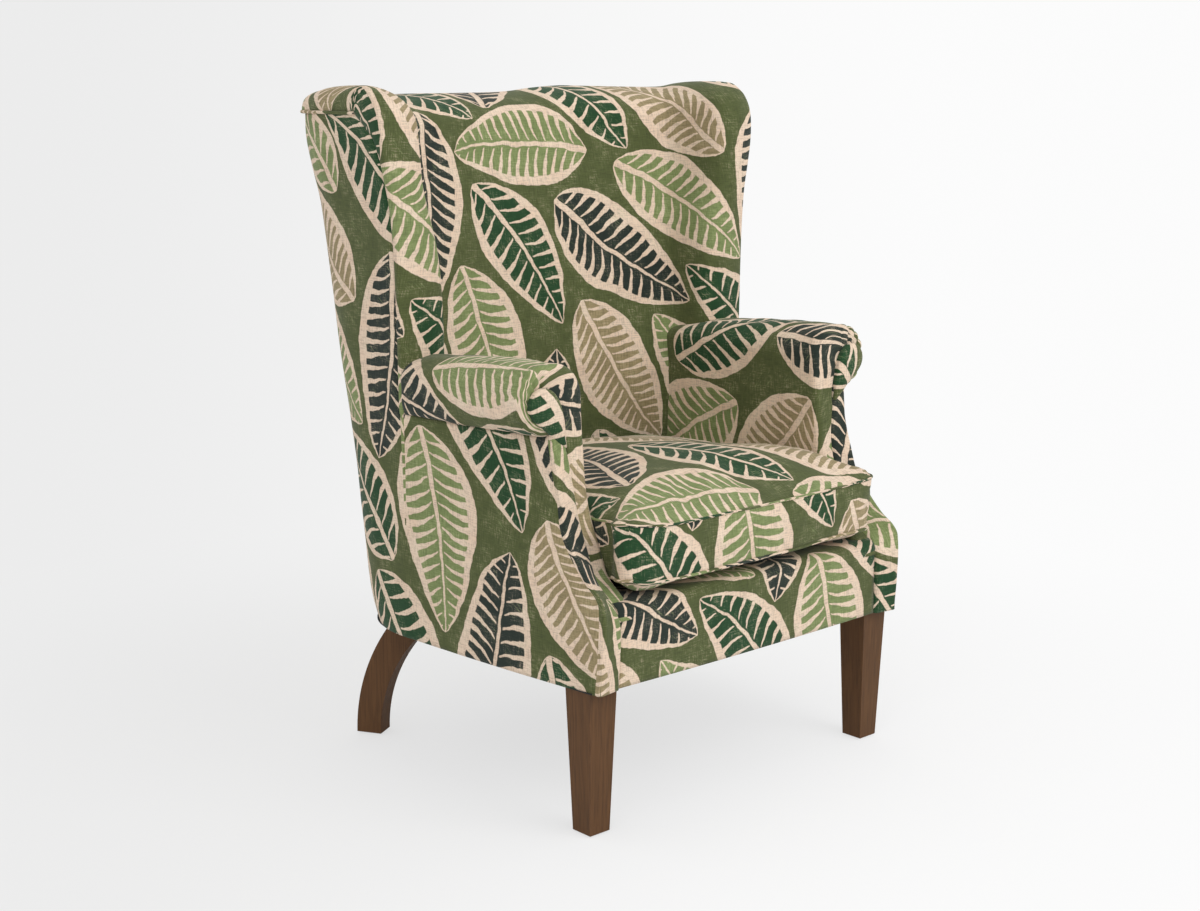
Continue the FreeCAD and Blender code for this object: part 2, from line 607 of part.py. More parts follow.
def armSection(depth, drop):
    half, top, wide = size("seatHalf"), size("scrollTop") - drop, size("scrollHalf")
    crest = size("armBoardHalf") - size("scrollCrest")
    shoulder = size("scrollShoulder")
    hang = size("scrollHang")
    corner = 0.3 * (wide - crest)
    return wire([(half, armBottom), (half, size("scrollUnder") + size("facingThick")),
                 ((half + 0.5 * shoulder, top - shoulder), (crest, top)),
                 ((wide - corner, top - corner), (wide, size("scrollZ"))),
                 ((wide - 0.27 * hang, size("scrollUnder") + 0.27 * (size("scrollZ") - size("scrollUnder"))),
                  (wide - hang, size("scrollUnder"))),
                 (size("waistHalf") + gap, size("scrollUnder")), (size("waistHalf") + gap, size("armZ")),
                 (size("armBoardHalf") + gap, size("armZ")), (size("armBoardHalf") + gap, boardTop),
                 (armFrameIn - gap, boardTop), (armFrameIn - gap, armBottom)], depth=depth)


wingY = size("wingFront")
outFront = -size("kneeOut") - margin
armFall = size("scrollDrop") / (wingY - size("lipFront"))
arm = loft([armSection(outFront, (outFront - size("lipFront")) * armFall),
            armSection(wingY - gap, size("scrollDrop"))])
slab = prism([(size("seatHalf"), armBottom), (size("seatHalf"), boardTop),
              (armFrameIn - gap, boardTop), (armFrameIn - gap, armBottom)],
             wingY - 2 * gap, size("frameLow") - 2 * size("facingThick") - wingY, depth=True)
room = prism(facingOutline(gap), -far, 2 * far, depth=True).common(postFront)
pair("arm_pad", arm.cut(armFront).cut(room).fuse(slab).removeSplitter())

# Outside covers

def sideOutline(height, inward, front):
    """Plan of the outside of the chair from points in front round to the seam at the back."""
    half = sideHalf(height)
    reach = size("cornerRadius") - inward
    middle = V(half - size("cornerRadius"), rearY(height) - size("cornerRadius"), 0)
    seam = size("seamIn")
    last = (middle.x + seam, middle.y + math.sqrt(reach ** 2 - seam ** 2))
    mid = (middle.x + reach * math.sqrt(0.5), middle.y + reach * math.sqrt(0.5))
    return [(x - inward, y) for x, y in front] + [(half - inward, middle.y), (mid, last)]


def sideShell(height, front):
    outer = sideOutline(height, 0, front)
    inner = sideOutline(height, size("coverThick"), front)
    mid, last = inner.pop()
    inner.reverse()
    return wire(outer + [last, (mid, inner[0])] + inner[1:], height=height)


def sideFront(height, depth):
    """The outside cover's plan beside the seat: it widens from the front to the bend."""
    return [(frontHalf(height), depth), (sideHalf(height), size("bendY"))]


under = size("scrollUnder") - gap
lower = loft([sideShell(z, sideFront(z, outFront)) for z in (hem, size("deckZ"), under)])
edgeY = wingY + size("wingEdge")
middle = loft([sideShell(z, [(sideHalf(z), wingY)]) for z in (under, size("armZ"), boardTop - gap)])
upper = loft([sideShell(z, [(sideHalf(z), edgeY + gap)])
              for z in (boardTop - gap, size("flareStart"), size("flareZ"), frameTop)])
pair("outside_side", lower.cut(postFront).fuse(middle).fuse(upper).removeSplitter())


def backStrip(height):
    seamX = sideHalf(height) - size("cornerRadius") + size("seamIn") - gap
    rear = rearY(height)
    return wire([(-seamX, rear - size("coverThick")), (seamX, rear - size("coverThick")),
                 (seamX, rear), (-seamX, rear)], height=height)


solidPiece("outside_back", loft([backStrip(z) for z in heights + [frameTop]]))

# Front border, deck and dust cover

springTop = railTop + size("clipThick") + size("springWire") + 2 * gap
borderBack = size("borderThick") - size("hemOut")
deck = size("deckZ")
lip = -size("hemOut")
legFront = 0.5 * (size("footSize") - size("legTopSize"))
edge = size("borderLip")
border = prism([(lip, hem + gap), (lip, deck - edge),
                ((lip + 0.3 * edge, deck - 0.3 * edge), (lip + edge, deck)),
                (railRear + gap, deck), (railRear + gap, springTop), (borderBack, springTop),
                (borderBack, frameZ + gap), (legFront - 2 * gap, frameZ + gap),
                (legFront - 2 * gap, hem + gap)], -far, 2 * far)
borderHalf = armFrameIn - gap
for low, high, half in ((hem - margin, armBottom - gap, borderHalf),
                        (armBottom - gap, deck + margin, size("seatHalf") - gap)):
    block = Part.makeBox(far, 2 * far, high - low, V(half, -far, low))
    border = border.cut(block).cut(mirrored(block))
solidPiece("front_border", border)

platform = doc.addObject("Part::Box", "seat_platform")
deckCloth = doc.addObject("Part::Box", "deck_cover")
for box, lowText, tallText in ((platform, frameZText + " + railHeight + clipThick + springWire + 3 * gap",
                                "deckZ - (%s + railHeight + clipThick + springWire + 3 * gap)" % frameZText),
                               (deckCloth, "deckZ + gap", "deckThick")):
    box.setExpression("Length", bound("2 * (seatHalf - gap)"))
    box.setExpression("Width", bound("backInDeck - backHollow - %s - 3 * gap" % railBack))
    box.setExpression("Height", bound(tallText))
    box.setExpression("Placement.Base.x", bound("gap - seatHalf"))
    box.setExpression("Placement.Base.y", bound("%s + 2 * gap - frontToOrigin" % railBack))
    box.setExpression("Placement.Base.z", bound(lowText))
keep(platform, "seat_platform")
keep(deckCloth, "deck_cover")

inset = size("coverThick") + gap
plan = sideOutline(hem, inset, sideFront(hem, size("facingThick") - size("hemOut") + gap))
midArc, lastArc = plan[3]
half = [(borderHalf, borderBack + gap), (borderHalf, plan[0][1])] + plan[:3] + [(midArc, lastArc)]
rightHalf = prism([(-gap, borderBack + gap)] + half + [(-gap, lastArc[1])], hem + gap,
                  size("dustThick"), height=True)
cloth = rightHalf.fuse(mirrored(rightHalf)).removeSplitter()
for leg in [piece for piece in subparts if "_leg_" in piece.Label]:
    doc.recompute()
    section = leg.Shape.copy()
    section.translate(shift * -1)
    for way in (V(1, 0, 0), V(-1, 0, 0), V(0, 1, 0), V(0, -1, 0)):
        moved = section.copy()
        moved.translate(way * size("coverSlack"))
        cloth = cloth.cut(moved)
for foot in (frontBolt, backBolt):
    hole = Part.makeCylinder(size("boltRadius") + size("coverSlack") + gap, frameZ, foot)
    cloth = cloth.cut(hole).cut(mirrored(hole))
solidPiece("dust_cover", cloth)

# Springs on the rails, their clips, and the webbing on the back frame

wireRadius = size("springWire") / 2
springZ = railTop + size("clipThick") + wireRadius + gap / 3
springFrom = size("borderThick") - size("hemOut") + gap + size("railThick") / 2
springTo = size("frameLow") + size("railSetBack") + size("railThick") / 2
runs = 2 * round((springTo - springFrom) / size("springPitch")) + 1
step = (springTo - springFrom) / (runs - 1)
swing = size("springSwing") / 2
path = []
turn = step / 2
straight = swing - turn
for i in range(runs):
    y = springFrom + i * step
    way = 1 if i % 2 == 0 else -1
    path.append(Part.makeLine(V(-way * straight, y, springZ), V(way * straight, y, springZ)))
    if i == runs - 1:
        break
    for first in (-90, 0):
        around = [V(way * (straight + turn * math.cos(math.radians(first + angle))),
                    y + turn + turn * math.sin(math.radians(first + angle)), springZ)
                  for angle in (0, 45, 90)]
        path.append(Part.Arc(*around).toShape())
spine = Part.Wire(path)
profile = Part.Wire(Part.makeCircle(wireRadius, V(-straight, springFrom, springZ), V(1, 0, 0)))
spring = spine.makePipeShell([profile], True, False)
springs, clips = [], []
for i in range(int(size("springCount"))):
    x = (i - (size("springCount") - 1) / 2) * size("springSpacing")
    one = spring.copy()
    one.translate(V(x, 0, 0))
    springs.append(one)
    for y in (springFrom, springTo):
        corner = V(x - size("clipWidth") / 2, y - size("clipLength") / 2, railTop)
        clips.append(Part.makeBox(size("clipWidth"), size("clipLength"), size("clipThick"), corner))
print("least gap of a spring to itself", step - 2 * wireRadius)
print("spring volume", spring.Volume, "against", spine.Length * math.pi * wireRadius ** 2)
solidPiece("seat_springs", Part.makeCompound(springs))
solidPiece("spring_clips", Part.makeCompound(clips))

web = size("webThick")
webbing = []


def strap(low, high, x, width, off):
    """A strap on the raked front of the back frame, this far off it."""
    return prism([(frameY(low) - off - web, low), (frameY(low) - off, low),
                  (frameY(high) - off, high), (frameY(high) - off - web, high)], x, width)


webLow = deck + size("lumbarLow") + size("coverThick")
webHigh = size("capZ") - size("lumbarLow")
webWidth = size("webWidth")
for x in (-size("webSpacing"), 0, size("webSpacing")):
    webbing.append(strap(webLow, webHigh, x - webWidth / 2, webWidth, gap))
postOut = size("postInner") + size("postWidth")
strapHalf = postOut - size("railSetBack")
webStep = (webHigh - webLow - 2 * size("webEdge") - webWidth) / (size("webRows") - 1)
for i in range(int(size("webRows"))):
    low = webLow + size("webEdge") + i * webStep
    webbing.append(strap(low, low + webWidth, -strapHalf, 2 * strapHalf, 2 * gap + web))
solidPiece("back_webbing", Part.makeCompound(webbing))

# Inside back and wings

padBack = 2 * web + 4 * gap
seatHalf = size("seatHalf")


def backSection(x):
    """Side view of the inside back at a distance from the middle."""
    share = (x / seatHalf) ** 2
    ahead = size("backHollow") * share
    top = size("backTop") + 0.5 * (size("earTop") - size("backTop")) * share
    cap, flare = size("capZ"), size("flareZ")
    low = springTop + gap
    rear = rearY(cap)
    roll = size("topRoll")
    tuck = size("topTuck")
    return wire([(insideY(deck) - ahead, low), (insideY(deck) - ahead, deck),
                 ((insideY(0.5 * (deck + size("armZ"))) - ahead - 1, 0.5 * (deck + size("armZ"))),
                  (insideY(size("armZ")) - ahead, size("armZ"))),
                 (insideY(size("flareStart")) - ahead, size("flareStart")), (insideY(flare) - ahead, flare),
                 ((insideY(flare) - ahead + 0.29 * roll, top - 0.3 * roll),
                  (insideY(flare) - ahead + roll, top)),
                 (rear - tuck, top), ((rear - 0.24 * tuck, top - 0.27 * tuck), (rear, cap)),
                 (frameY(cap) - padBack, cap),
                 (frameY(low) - padBack, low)], across=x)


clear = seatHalf - gap
solidPiece("inside_back", loft([backSection(x) for x in (-clear, -clear / 2, 0, clear / 2, clear)]))


def wingSection(height):
    """Plan of a wing's padding below the seam, round the wing post."""
    half = sideHalf(height)
    inner = half - size("wingPad")
    jointY = insideY(height) - size("backHollow")
    rear = frameY(height) - padBack
    postX = size("wingPostOuter") - size("railThick") - gap
    postY = wingY + size("wingRoll") - gap
    rearPost = postY + size("wingPostDepth") + 2 * gap
    wide = half - inner
    roll = size("wingRoll")
    return wire([(half, edgeY),
                 ((half - 0.18 * wide, wingY + 0.26 * size("wingEdge")), (half - 0.38 * wide, wingY)),
                 (half - 0.62 * wide, wingY),
                 ((inner + 0.11 * wide, wingY + 0.3 * roll), (inner, wingY + roll)),
                 ((inner - 8, 0.5 * (wingY + roll + jointY) + 4), (seatHalf, jointY)), (seatHalf, rear),
                 (postOut - 4, rear), (postX - 1, rearPost), (postX, postY),
                 (half - size("coverThick") - gap, postY),
                 (half - size("coverThick") - gap, edgeY)], height=height)


def capSection(height, back):
    """Plan of a wing above the seam, drawn in from its edges."""
    half = sideHalf(height) - back
    inner = sideHalf(height) - size("wingPad") + 0.6 * back
    reach = size("cornerRadius")
    rear = rearY(size("capZ")) - back
    middle = V(half - reach, rear - reach, 0)
    jointY = insideY(size("flareZ")) - size("backHollow") + 0.25 * (height - size("flareZ")) + back
    front = wingY + 2.2 * back
    lastY = middle.y + math.sqrt(reach ** 2 - (seatHalf - middle.x) ** 2)
    angle = 0.5 * (math.acos((seatHalf - middle.x) / reach))
    mid = (middle.x + reach * math.cos(angle), middle.y + reach * math.sin(angle))
    wide = half - inner
    roll = size("wingRoll")
    edge = size("wingEdge")
    return wire([(half, front + edge),
                 ((half - 0.18 * wide, front + 0.26 * edge), (half - 0.38 * wide, front)),
                 (half - 0.62 * wide, front),
                 ((inner + 0.11 * wide, front + 0.3 * roll), (inner, front + roll)),
                 ((inner - 8, 0.5 * (front + roll + jointY) + 4), (seatHalf, jointY)), (seatHalf, lastY),
                 (mid, (half, middle.y))], height=height)


wingHeights = [boardTop, size("flareStart"), size("flareZ"), size("capZ")]
wing = loft([wingSection(z) for z in wingHeights])
cap = size("capZ")
tall = size("earTop") - cap
ear = loft([capSection(cap + share * tall, back)
            for share, back in ((0, 0), (0.45, 3), (0.78, 10), (0.94, 20), (1, 32))])
pair("wing_pad", wing.fuse(ear).removeSplitter())

# Seat cushion

cushionLow = deck + size("deckThick") + 2 * gap
crownIn = size("crownIn")


def cushionPlan(height, back, spread):
    """Plan of the cushion, drawn in from its seam, its front corners spread by a share."""
    half = seatHalf - 2 * gap
    rise = 1 - back / crownIn
    ear = half + size("cushionEar") * rise * spread
    front = -size("cushionFront") + back
    rear = size("cushionBack") - back
    corner = size("cushionCorner") + 0.04 * back
    turn = corner * (1 - math.sqrt(0.5))
    draw = size("cushionDraw") * rise
    sideX = half - back
    neck = front + corner + size("cushionNeck") * rise
    right = [(ear - back - corner, front), ((ear - back - turn, front + turn), (ear - back, front + corner)),
             (sideX, neck), ((sideX - draw, 0.5 * (front + rear)), (sideX, rear - corner)),
             ((sideX - turn, rear - turn), (sideX - corner, rear))]
    left = [((-sideX + turn, rear - turn), (-sideX, rear - corner)),
            ((-sideX + draw, 0.5 * (front + rear)), (-sideX, neck)), (-ear + back, front + corner),
            ((-ear + back + turn, front + turn), (-ear + back + corner, front))]
    bow = (insideY(deck) - 2 - size("cushionBack")) * rise
    points = [left[-1][1], ((0, front - 0.4 * draw), right[0])] + right[1:]
    points += [((0, rear + bow), (-sideX + corner, rear))] + left
    return wire(points, height=height)


def cushion(shrink):
    """The cushion's outside, or a smaller copy of it inside its cover."""
    low, high = size("cushionSeamLow"), size("cushionSeamHigh")
    tall = size("cushionCrown") - high
    puff = size("cushionPuff")
    quarter = 0.25 * (high - low)
    rows = [(cushionLow + shrink, 5 * puff, 0), (0.5 * (cushionLow + low), puff, 0), (low, 0, 0),
            (low + quarter, puff, 0), (low + 2 * quarter, 1.25 * puff, 0.4), (high - quarter, puff, 0.8),
            (high, 0, 1)]
    for step in range(1, 8):
        angle = math.radians(12 * step)
        rows.append((high + (tall - shrink) * math.sin(angle), 0.94 * crownIn * (1 - math.cos(angle)), 1))
    return loft([cushionPlan(z, back + shrink, spread) for z, back, spread in rows])


cloth = size("clothThick")
solidPiece("cushion_cover", cushion(0).cut(cushion(cloth)))
solidPiece("cushion_core", cushion(cloth + gap))

# Every object and shape is checked before anything is written.

doc.recompute()
for obj in doc.Objects:
    if "Invalid" in obj.State or "Error" in obj.State:
        raise RuntimeError("%s failed: %s" % (obj.Name, obj.State))
for piece in subparts:
    if piece.Shape.isNull() or not piece.Shape.isValid():
        raise RuntimeError("%s has no valid shape" % piece.Label)
os.makedirs("parts", exist_ok=True)
box = FreeCAD.BoundBox()
for piece in subparts:
    box.add(piece.Shape.BoundBox)
    piece.Shape.exportStep("parts/%s.step" % piece.Label)
print(len(subparts), "sub-parts,", box)
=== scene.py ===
import bpy
import bmesh
import json
import math
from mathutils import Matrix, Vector


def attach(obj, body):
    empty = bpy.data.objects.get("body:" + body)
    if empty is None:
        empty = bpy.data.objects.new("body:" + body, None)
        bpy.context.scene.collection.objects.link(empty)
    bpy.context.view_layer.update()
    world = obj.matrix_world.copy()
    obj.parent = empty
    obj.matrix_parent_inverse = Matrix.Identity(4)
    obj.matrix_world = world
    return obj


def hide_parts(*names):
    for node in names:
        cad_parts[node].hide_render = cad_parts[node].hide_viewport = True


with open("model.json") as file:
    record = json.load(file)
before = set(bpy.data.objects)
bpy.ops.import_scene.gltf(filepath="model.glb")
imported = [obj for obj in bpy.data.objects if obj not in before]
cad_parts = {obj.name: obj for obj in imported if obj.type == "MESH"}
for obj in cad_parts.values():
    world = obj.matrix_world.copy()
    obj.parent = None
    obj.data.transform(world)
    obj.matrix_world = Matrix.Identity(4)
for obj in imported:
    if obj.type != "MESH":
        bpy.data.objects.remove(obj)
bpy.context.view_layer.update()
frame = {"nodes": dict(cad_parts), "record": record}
scene = bpy.context.scene
print("model loaded:", len(frame["nodes"]), "nodes")

setBack = 304.1  # mm from the front feet to the origin, which is in the middle of the depth


def spot(x, y, z):
    return Vector((x, y - setBack, z)) / 1000


# smooth line through stops, given as (place, value)
def along(stops, x):
    if x <= stops[0][0]:
        return stops[0][1]
    if x >= stops[-1][0]:
        return stops[-1][1]
    last = len(stops) - 1
    i = next(n for n in range(1, last + 1) if x <= stops[n][0])

    def slope(n):
        low, high = max(n - 1, 0), min(n + 1, last)
        return (stops[high][1] - stops[low][1]) / (stops[high][0] - stops[low][0])

    (x0, y0), (x1, y1) = stops[i - 1], stops[i]
    span = x1 - x0
    t = (x - x0) / span
    a, b = slope(i - 1) * span, slope(i) * span
    return (y0 * (1 + 2 * t) * (1 - t) ** 2 + a * t * (1 - t) ** 2
            + y1 * t * t * (3 - 2 * t) + b * t * t * (t - 1))


def ease(t):
    t = min(max(t, 0), 1)
    return t * t * (3 - 2 * t)


# smooth step over a span: 0 at its first end and 1 at its second, which may be the lower one
def ramp(x, span):
    start, end = span
    return ease((x - start) / (end - start))


# rounded bumps along x, given as (place, width, height)
def bumps(rows, x):
    return sum(high * math.exp(-((x - place) / wide) ** 2) for place, wide, high in rows)


# shallow creases in a cover, given as (how many over it, how they lean, depth in mm)
def creases(rows, across, level):
    return sum(deep * math.sin(6.3 * (across * turns + level * lean)) for turns, lean, deep in rows)


# point on a smooth curve through points; f counts points
def thread(points, f):
    last = len(points) - 1
    i = min(int(f), last - 1)
    t = f - i
    a, b, c, d = (Vector(points[min(max(k, 0), last)]) for k in (i - 1, i, i + 1, i + 2))
    return 0.5 * (2 * b + (c - a) * t + (2 * a - 5 * b + 4 * c - d) * t * t
                  + (3 * b - a - 3 * c + d) * t ** 3)


# shader maths
class Wire:
    def __init__(self, recipe, socket):
        self.recipe, self.socket = recipe, socket

    def maths(self, operation, *values):
        return self.recipe.node("Math", {"operation": operation}, dict(enumerate((self,) + values)))

    def __add__(self, other):
        return self.maths("ADD", other)

    def __sub__(self, other):
        return self.maths("SUBTRACT", other)

    def __rsub__(self, other):
        return self.maths("MULTIPLY_ADD", -1, other)

    def __mul__(self, other):
        return self.maths("MULTIPLY", other)

    def __truediv__(self, other):
        return self.maths("DIVIDE", other)

    def __rtruediv__(self, other):
        return self.maths("POWER", -1) * other

    def __pow__(self, other):
        return self.maths("POWER", other)

    def __abs__(self):
        return self.maths("ABSOLUTE")

    __radd__ = __add__
    __rmul__ = __mul__

    def between(self, low, high):
        return self.recipe.node("MapRange", {"interpolation_type": "SMOOTHSTEP"},
                                {"Value": self, "From Min": low, "From Max": high})


class Recipe:
    def __init__(self, owner):
        self.owner = owner
        owner.use_nodes = True
        self.tree = owner.node_tree
        self.tree.nodes.clear()

    def node(self, kind, settings=None, sockets=None, out=0):
        fresh = self.tree.nodes.new("ShaderNode" + kind)
        for key, value in (settings or {}).items():
            if key == "stops":
                band = fresh.color_ramp
                while len(band.elements) < len(value):
                    band.elements.new(1)
                for stop, (place, colour) in zip(band.elements, value):
                    stop.position, stop.color = place, colour
            else:
                setattr(fresh, key, value)
        for key, value in (sockets or {}).items():
            if isinstance(value, Wire):
                self.tree.links.new(value.socket, fresh.inputs[key])
            else:
                fresh.inputs[key].default_value = value
        return Wire(self, fresh.outputs[out]) if fresh.outputs else None

    def blend(self, factor, a, b, how="MIX"):
        return self.node("Mix", {"data_type": "RGBA", "blend_type": how}, {0: factor, 6: a, 7: b}, 2)

    def vector(self, operation, *values, out=0):
        return self.node("VectorMath", {"operation": operation}, dict(enumerate(values)), out)

    def noise(self, place, scale, detail, roughness=0.5, out=0):
        return self.node("TexNoise", None, {"Vector": place, "Scale": scale, "Detail": detail,
                                            "Roughness": roughness}, out)

    def finish(self, **sockets):
        shader = self.node("BsdfPrincipled", None,
                           {key.replace("_", " "): value for key, value in sockets.items()})
        self.node("OutputMaterial", None, {"Surface": shader})
        return self.owner


def newRecipe(name):
    return Recipe(bpy.data.materials.new(name))


# colour as seen on a screen, turned into the linear values that shaders take
def shade(red, green, blue):
    return tuple(((c / 255 + 0.055) / 1.055) ** 2.4 if c > 10 else c / 255 / 12.92
                 for c in (red, green, blue)) + (1,)


def dimmed(colour, share):
    return tuple(c * share for c in colour[:3]) + (1,)


inks = {
    "ground": shade(84, 92, 54),
    "cream": shade(226, 203, 180),
    "forest": shade(34, 70, 40),
    "charcoal": shade(40, 50, 44),
    "meadow": shade(124, 138, 88),
    "taupe": shade(152, 137, 102),
    "brushed": shade(150, 160, 112),
    # near-black painted shade for the gaps between the threads
    "gap": (0.02, 0.02, 0.015, 1),
}

printRepeat = 0.62  # metres, before the scale
printScale = 1.12
# leaves in one repeat: place, angle in degrees, length, width, bend, ink
printLeaves = [
    (0.262, 0.075, 76, 0.276, 0.120, 0.012, "charcoal"),
    (0.276, 0.493, 179, 0.246, 0.111, 0.012, "meadow"),
    (0.617, 0.234, 134, 0.231, 0.109, 0.012, "forest"),
    (0.541, 0.400, 324, 0.246, 0.115, -0.012, "meadow"),
    (0.249, 0.345, 302, 0.246, 0.109, -0.012, "forest"),
    (0.075, 0.420, 261, 0.276, 0.127, -0.012, "charcoal"),
    (0.415, 0.165, 301, 0.246, 0.116, 0.012, "taupe"),
    (0.415, 0.596, 295, 0.231, 0.106, 0.012, "forest"),
    (0.550, 0.578, 131, 0.246, 0.116, -0.012, "taupe"),
    (0.118, 0.024, 307, 0.261, 0.128, 0.012, "forest"),
    (0.158, 0.206, 278, 0.276, 0.131, -0.012, "meadow"),
    (0.431, 0.347, 323, 0.261, 0.119, 0.012, "charcoal"),
    (0.540, 0.130, 120, 0.276, 0.123, 0.012, "meadow"),
]

veinGap = {"charcoal": 0.0175, "forest": 0.0205, "meadow": 0.0165, "taupe": 0.0145}
# form of a leaf: shares of its width, and line widths in metres
leaf = {
    "half": 0.54, "tip": 0.72, "taper": 0.28, "blade": 0.80, "rim": 0.002, "rib": 0.0030,
    "ribTaper": 0.7, "slant": 0.62, "sweep": 5, "vein": 0.0006, "veinGrowth": 0.075,
    "inset": 0.006, "outline": 0.0012,
}
# how softly each painted line ends, in metres
brushEdge = {
    "body": (-0.0006, 0.0006), "blade": (-0.0008, 0.0008), "rib": (-0.0005, 0.0007),
    "vein": (-0.0004, 0.0006), "inset": (-0.001, 0.001),
}
# how strongly each worn or woven mark, and the painted shade in the gaps of the weave, shows, and
# between which values of its noises it comes up
wear = {
    "thin": 0.42, "thinWeave": (0.50, 0.70), "thinWash": (0.38, 0.66),
    "dry": 0.38, "dryBrush": (0.52, 0.72), "dryWash": (0.44, 0.62), "brushTurn": 0.7,
    "gapShade": 0.30, "gapDepth": 0.53, "gapReach": 0.12, "wash": 0.45,
    "sway": 0.02, "tremble": 0.006,  # how far lines wander, in metres
}
# noise scales of the cloth, along it and across it
grains = {
    "sway": 9, "tremble": 52, "wash": 24, "brush": (38, 420, 1), "weft": (55, 620, 1),
    "warp": (620, 55, 1),
}


def linen(name):
    r = newRecipe(name)
    cloth = r.node("UVMap", {"uv_map": "cloth"})
    design = r.vector("MULTIPLY", cloth, (1 / printScale, 1 / printScale, 1))
    sway, tremble = wear["sway"], wear["tremble"]
    middle = (-sway / 2, -sway / 2, 0)
    shift = r.vector("MULTIPLY_ADD", r.noise(design, grains["sway"], 2, out=1), (sway, sway, 0), middle)
    small = r.noise(cloth, grains["tremble"], 2, out=1)
    shift = r.vector("MULTIPLY_ADD", small, (tremble, tremble, 0), shift)
    drawn = r.vector("ADD", design, shift)
    colour = inks["ground"]
    half = printRepeat / 2
    for x, y, turn, length, width, curl, ink in printLeaves:
        local = r.vector("SUBTRACT", drawn, (x, y, 0))
        local = r.vector("WRAP", local, (half, half, 1), (-half, -half, -1))
        c, s = math.cos(math.radians(turn)), math.sin(math.radians(turn))
        lengthways = r.vector("DOT_PRODUCT", local, (c, s, 0), out=1)
        across = r.vector("DOT_PRODUCT", local, (-s, c, 0), out=1)
        t = lengthways / (length / 2)
        off = abs(across + (1 - t * t) * curl)
        taper = 1 - leaf["taper"] * t
        edge = (1 - t * t).maths("MAXIMUM", 0) ** leaf["tip"] * taper * (width * leaf["half"])
        body = (edge - off - leaf["outline"]).between(*brushEdge["body"])
        blade = (edge * leaf["blade"] - off - leaf["rim"]).between(*brushEdge["blade"])
        rib = (off - leaf["rib"] * (1 - leaf["ribTaper"] * t)).between(*brushEdge["rib"])
        gap = veinGap[ink]
        slant = (lengthways - off * leaf["slant"] + off * off * leaf["sweep"]) / gap
        vein = abs(slant.maths("FRACT") - 0.5) * gap
        veins = (vein - leaf["vein"] - off * leaf["veinGrowth"]).between(*brushEdge["vein"])
        inner = (off - leaf["inset"]).between(*brushEdge["inset"])
        painted = blade * rib * (1 - (1 - veins) * inner)
        colour = r.blend(body, colour, inks["cream"])
        colour = r.blend(painted, colour, inks[ink])
    slanted = r.node("VectorRotate", None, {"Vector": cloth, "Angle": wear["brushTurn"]})
    brush = r.noise(r.vector("MULTIPLY", slanted, grains["brush"]), 1, 3, 0.6)
    weft = r.noise(r.vector("MULTIPLY", cloth, grains["weft"]), 1, 3, 0.6)
    warp = r.noise(r.vector("MULTIPLY", cloth, grains["warp"]), 1, 3, 0.6)
    wash = r.noise(cloth, grains["wash"], 5, 0.65)
    slub = (weft + warp) * 0.5
    thin = slub.between(*wear["thinWeave"]) * wash.between(*wear["thinWash"])
    dry = brush.between(*wear["dryBrush"]) * wash.between(*wear["dryWash"])
    # painted shade: the low places between the threads are darkened towards near black
    gapShade = (wear["gapDepth"] - slub).between(0, wear["gapReach"])
    colour = r.blend(thin * wear["thin"], colour, inks["cream"])
    colour = r.blend(dry * wear["dry"], colour, inks["brushed"])
    colour = r.blend(gapShade * wear["gapShade"], colour, inks["gap"])
    clouds = r.blend(wash, (0.2, 0.2, 0.2, 1), (0.8, 0.8, 0.8, 1))
    colour = r.blend(wear["wash"], colour, clouds, "OVERLAY")
    bump = r.node("Bump", None, {"Strength": 0.4, "Distance": 0.0006, "Height": slub})
    return r.finish(Base_Color=colour, Roughness=0.92, Specular_IOR_Level=0.18, Sheen_Weight=0.1,
                    Sheen_Roughness=0.5, Normal=bump)


def stainedWood(name, dark, light):
    r = newRecipe(name)
    place = r.node("TexCoord", None, None, 3)
    drift = r.noise(r.vector("MULTIPLY", place, (60, 60, 5)), 0.5, 3)
    grain = r.noise(r.vector("MULTIPLY", place, (420, 420, 14)), 1, 5, 0.6)
    bands = (drift * 9).maths("FRACT")
    tone = abs(bands - 0.5) * 2 * 0.45 + grain * 0.75 - 0.1
    colour = r.node("ValToRGB", {"stops": [(0.2, dark), (0.8, light)]}, {"Fac": tone})
    pores = grain.between(0.36, 0.5)
    colour = r.blend((1 - pores) * 0.34, colour, dimmed(dark, 0.5))
    bump = r.node("Bump", None, {"Strength": 0.2, "Distance": 0.0003, "Height": grain})
    return r.finish(Base_Color=colour, Roughness=0.5 + 0.18 * grain, Specular_IOR_Level=0.25,
                    Normal=bump)


def plainCloth(name, colour, scale, rough=0.95):
    r = newRecipe(name)
    threads = r.noise(r.node("TexCoord", None, None, 3), scale, 4, 0.7)
    tone = r.blend(threads, dimmed(colour, 0.7), dimmed(colour, 1.25))
    bump = r.node("Bump", None, {"Strength": 0.4, "Distance": 0.0006, "Height": threads})
    return r.finish(Base_Color=tone, Roughness=rough, Specular_IOR_Level=0.2, Normal=bump)


def brushedSteel(name):
    r = newRecipe(name)
    marks = r.noise(r.node("TexCoord", None, None, 3), 220, 3)
    colour = r.blend(marks, (0.42, 0.42, 0.43, 1), (0.62, 0.62, 0.63, 1))
    return r.finish(Base_Color=colour, Metallic=1.0, Roughness=0.3 + 0.2 * marks)


